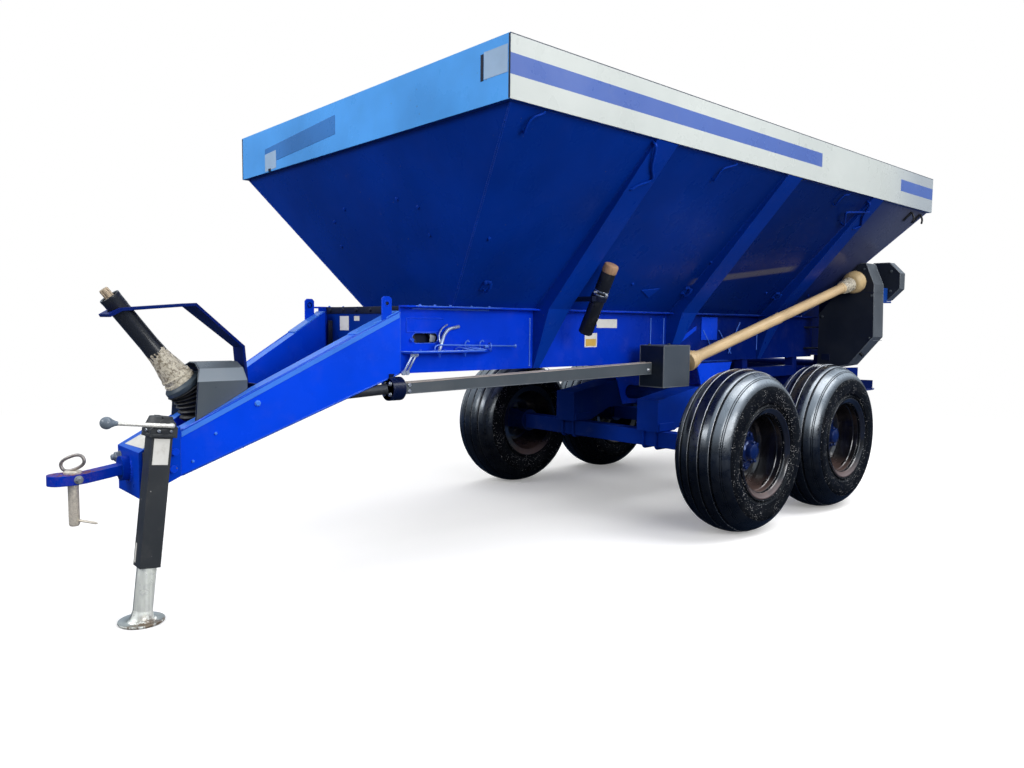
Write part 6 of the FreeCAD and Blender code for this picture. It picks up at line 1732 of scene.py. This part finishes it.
# ------------------------------------------------------------------ running gear and rear
def running_gear():
    axle_low, axle_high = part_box("axles")
    beam_low, beam_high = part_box("walking_beams")
    pivot_low, pivot_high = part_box("pivot_shaft")
    half = 0.045
    bm = bmesh.new()
    seats = bmesh.new()
    for side in (1, -1):
        for y in (axle_low.y + half, axle_high.y - half):
            for x in (0.282, 0.372):
                top = beam_low.z + 0.062
                low, y0, y1 = axle_low.z - 0.009, y - 0.054, y + 0.054
                line = [(side * x, y0, top), (side * x, y0, low), (side * x, y1, low), (side * x, y1, top)]
                tube(bm, rounded(line, 0.022), 0.0085, 10)
            for x, out in ((beam_high.x, 1), (0.252, -1)):
                plate_x(seats, side * x, (y - 0.07, y + 0.07), (beam_low.z + 0.004, beam_low.z + 0.05),
                        side * out * 0.008, 0.0015)
    piece("axle_u_bolts", bm, far_blue)
    piece("axle_seat_plates", seats, far_blue)
    bm = bmesh.new()
    y, z = (pivot_low.y + pivot_high.y) / 2, (pivot_low.z + pivot_high.z) / 2
    for side in (1, -1):
        at = Vector((side * pivot_high.x, y, z))
        out = X_AXIS * side
        lathe(bm, [(-0.004, 0.0), (-0.004, 0.058), (0.004, 0.058), (0.006, 0.055), (0.006, 0.03),
                   (0.01, 0.028), (0.01, 0.0)], at, out, 40)
        bolt_circle(bm, at + out * 0.006, Y_AXIS, Z_AXIS, 0.043, 4, out, 0.0055)
        lathe(bm, [(0.0, 0.0), (0.0, 0.005), (0.008, 0.005), (0.011, 0.003), (0.011, 0.0)],
              at + out * 0.009, out, 16)
    piece("pivot_caps", bm, under_blue)
    bm = bmesh.new()
    hang_low, hang_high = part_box("pivot_hangers")
    for side in (1, -1):
        for x in (0.242, hang_high.x):
            z = hang_high.z - 0.004
            weld(bm, (side * x, hang_low.y + 0.004, z), (side * x, hang_high.y - 0.004, z), 0.0045, 0.01,
                 12)
    piece("hanger_welds", bm, under_blue)


running_gear()


def rear():
    gate_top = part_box("rear_gate")[1]
    bm = bmesh.new()
    out = REAR_OUT

    def on_gate(x, z, away):
        return Vector((x, gate_top.y - (gate_top.z - z) * END_LEAN, z)) + out * away

    grip_z, grip_out = 1.415, 0.04
    post = [(-0.006, 0.0), (-0.006, 0.014), (0.003, 0.014), (0.005, 0.009), (grip_out, 0.009),
            (grip_out, 0.0)]
    for x in (-0.11, 0.11):
        lathe(bm, post, on_gate(x, grip_z, 0.0), out, 20)
    tube(bm, [on_gate(-0.15, grip_z, grip_out), on_gate(0.15, grip_z, grip_out)], 0.01, 16)
    for x in (-0.215, 0.0, 0.215):
        spots = ((x - 0.004, 1.2), (x + 0.004, 1.2), (x + 0.004, 1.385), (x - 0.004, 1.385))
        slab(bm, [on_gate(*spot, 0) for spot in spots], out * 0.012, 0.0015, 1)
    piece("gate_handle", bm, machine_blue, body="gate")
    bm = bmesh.new()
    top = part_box("gate_guides")[1]
    for side in (1, -1):
        for z in (1.24, 1.36, 1.48):
            bolt(bm, (side * (top.x - 0.012), top.y - (top.z - z) * END_LEAN, z), out, 0.006)
    piece("guide_bolts", bm, dull_zinc)
    # gearbox top flanges
    bm = bmesh.new()
    box_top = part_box("spinner_gearboxes")[1].z
    for joint in frame["joints"]:
        if not joint["name"].startswith("disc_"):
            continue
        x, y = joint["pos_m"][:2]
        at = Vector((x, y, box_top))
        lathe(bm, [(-0.004, 0.0), (-0.004, 0.062), (0.006, 0.062), (0.008, 0.059), (0.008, 0.026),
                   (0.022, 0.024), (0.024, 0.02), (0.024, 0.0)], at, Z_AXIS, 40)
        bolt_circle(bm, at + Z_AXIS * 0.008, X_AXIS, Y_AXIS, 0.047, 6, Z_AXIS, 0.0045, phase=0.0)
    piece("gearbox_covers", bm, under_blue)
    # bolts of the spinner shield
    bm = bmesh.new()
    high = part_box("spinner_shield")[1]
    for side in (1, -1):
        for x in (0.12, 0.3, 0.48, 0.64):
            bolt(bm, (side * x, 2.0975, high.z - 0.03), Y_AXIS, 0.005)
    piece("shield_bolts", bm, dull_zinc)


rear()


# ------------------------------------------------------------------ camera, floor and light
CAMERA_AT = (3.1039, -3.2867, 1.0884)
CAMERA_YAW, CAMERA_PITCH, CAMERA_ROLL = 0.8318285, -0.0773911, 0.0107877
FOCAL_SHARE = 780.39 / 1024      # focal length as a share of the frame's width
FLOOR_BOUNCE = (0.16, 0.16, 0.16)
FLOOR_MIRROR = (0.02, 0.038, 0.085)
FAR_TINT = (0.22, 0.42, 1.0)
SKY_TINT = (0.74, 0.86, 1.0)
FLOOR_SEEN = (0.9, 0.9, 0.9)
SHADOW_LIFT = 0.2
FAR_MIRROR = 0.16
SKY_LIGHT = 0.62
SKY_MIRROR = 1.2
HORIZON_MIRROR = 0.16             # the sky low down, as the paint sees it
FADE_FROM, FADE_TO = 2.2, 7.5     # the floor turns plain white between these distances


def camera():
    data = bpy.data.cameras.new("camera")
    data.sensor_width = 36.0
    data.lens = FOCAL_SHARE * data.sensor_width
    obj = bpy.data.objects.new("camera", data)
    bpy.context.scene.collection.objects.link(obj)
    sy, cy = math.sin(CAMERA_YAW), math.cos(CAMERA_YAW)
    sp, cp = math.sin(CAMERA_PITCH), math.cos(CAMERA_PITCH)
    ahead = Vector((-sy * cp, cy * cp, sp))
    level = Vector((cy, sy, 0))
    above = level.cross(ahead)
    c, s = math.cos(CAMERA_ROLL), math.sin(CAMERA_ROLL)
    right = c * level + s * above
    up = -s * level + c * above
    turn = Matrix((right, up, -ahead)).transposed()
    obj.matrix_world = Matrix.Translation(CAMERA_AT) @ turn.to_4x4()
    bpy.context.scene.camera = obj


def ray_kind(shader_tree, *names):
    """1 for the named kinds of ray."""
    nodes, links = shader_tree.nodes, shader_tree.links
    path = nodes.new("ShaderNodeLightPath")
    total = path.outputs[names[0]]
    for name in names[1:]:
        node = nodes.new("ShaderNodeMath")
        node.operation = "MAXIMUM"
        links.new(total, node.inputs[0])
        links.new(path.outputs[name], node.inputs[1])
        total = node.outputs[0]
    return total


def stage_floor():
    """A wide pale floor: nearly white where looked at, a dull yard as a light and in the paint."""
    mesh = bpy.data.meshes.new("floor")
    reach = 40.0
    corners = [(-reach, -reach, 0), (reach, -reach, 0), (reach, reach, 0), (-reach, reach, 0)]
    mesh.from_pydata(corners, [], [(0, 1, 2, 3)])
    floor = bpy.data.objects.new("floor", mesh)
    bpy.context.scene.collection.objects.link(floor)
    s = Shader("floor", Roughness=0.7, Specular_IOR_Level=0.0, Emission_Color=(1.0, 1.0, 1.0, 1.0))
    look = ray_kind(s.tree, "Is Camera Ray", "Is Transmission Ray")
    mirror = ray_kind(s.tree, "Is Glossy Ray")
    away = s.add("ShaderNodeVectorMath", operation="LENGTH")
    s.link(s.coords, away.inputs[0])
    far = s.span(away.outputs["Value"], FADE_FROM, FADE_TO)
    base = s.mix(look, s.mix(mirror, FLOOR_BOUNCE, FLOOR_MIRROR), s.mix(far, FLOOR_SEEN, (0.0, 0.0, 0.0)))
    s.link(base, s.main.inputs["Base Color"])
    glow = s.times(s.span(far, 0.0, 1.0, SHADOW_LIFT, 1.0), look)
    s.link(s.mix(mirror, (1.0, 1.0, 1.0), FAR_TINT), s.main.inputs["Emission Color"])
    strength = s.math("ADD", glow, s.times(s.times(far, mirror), FAR_MIRROR))
    s.link(strength, s.main.inputs["Emission Strength"])
    mesh.materials.append(s.material)


def area(name, at, size, power, target):
    data = bpy.data.lights.new(name, "AREA")
    data.shape = "RECTANGLE"
    data.size, data.size_y = size
    data.energy = power
    obj = bpy.data.objects.new(name, data)
    bpy.context.scene.collection.objects.link(obj)
    obj.location = at
    obj.rotation_mode = "QUATERNION"
    obj.rotation_quaternion = (Vector(target) - Vector(at)).to_track_quat("-Z", "Y")


def surround():
    """An even sky: white where it is looked at, softer as a light and in the paint."""
    world = bpy.data.worlds.new("surround")
    bpy.context.scene.world = world
    world.use_nodes = True
    nodes, links = world.node_tree.nodes, world.node_tree.links
    back = nodes["Background"]
    level = nodes.new("ShaderNodeMapRange")
    links.new(ray_kind(world.node_tree, "Is Camera Ray", "Is Transmission Ray"), level.inputs["Value"])
    split = nodes.new("ShaderNodeSeparateXYZ")
    links.new(nodes.new("ShaderNodeTexCoord").outputs["Generated"], split.inputs[0])
    rise = nodes.new("ShaderNodeMapRange")
    rise.interpolation_type = "SMOOTHSTEP"
    links.new(split.outputs["Z"], rise.inputs["Value"])
    for key, value in (("From Min", 0.02), ("From Max", 0.55), ("To Min", HORIZON_MIRROR),
                       ("To Max", SKY_MIRROR)):
        rise.inputs[key].default_value = value
    gloss = nodes.new("ShaderNodeMapRange")
    links.new(ray_kind(world.node_tree, "Is Glossy Ray"), gloss.inputs["Value"])
    gloss.inputs["To Min"].default_value = SKY_LIGHT
    links.new(rise.outputs[0], gloss.inputs["To Max"])
    links.new(gloss.outputs[0], level.inputs["To Min"])
    level.inputs["To Max"].default_value = 1.0
    links.new(level.outputs[0], back.inputs["Strength"])
    tint = nodes.new("ShaderNodeMix")
    tint.data_type = "RGBA"
    links.new(ray_kind(world.node_tree, "Is Glossy Ray"), tint.inputs[0])
    tint.inputs[6].default_value = (1.0, 1.0, 1.0, 1.0)
    tint.inputs[7].default_value = (*SKY_TINT, 1.0)
    links.new(tint.outputs[2], back.inputs["Color"])


camera()
stage_floor()
surround()
area("key", (6.0, -1.0, 2.6), (4.0, 2.4), 205, (0.6, 0.2, 1.1))
area("front", (-1.0, -6.5, 3.8), (4.0, 2.0), 150, (0.0, -1.0, 0.9))
area("over", (3.4, 2.2, 6.0), (4.0, 5.0), 350, (1.2, 0.8, 0.4))
area("top", (-1.5, 0.0, 6.5), (4.0, 5.0), 120, (0.0, 0.3, 0.0))
area("back", (-3.0, 6.5, 3.5), (5.0, 2.5), 140, (0.0, 1.0, 0.9))

bpy.context.scene.view_settings.view_transform = "Standard"
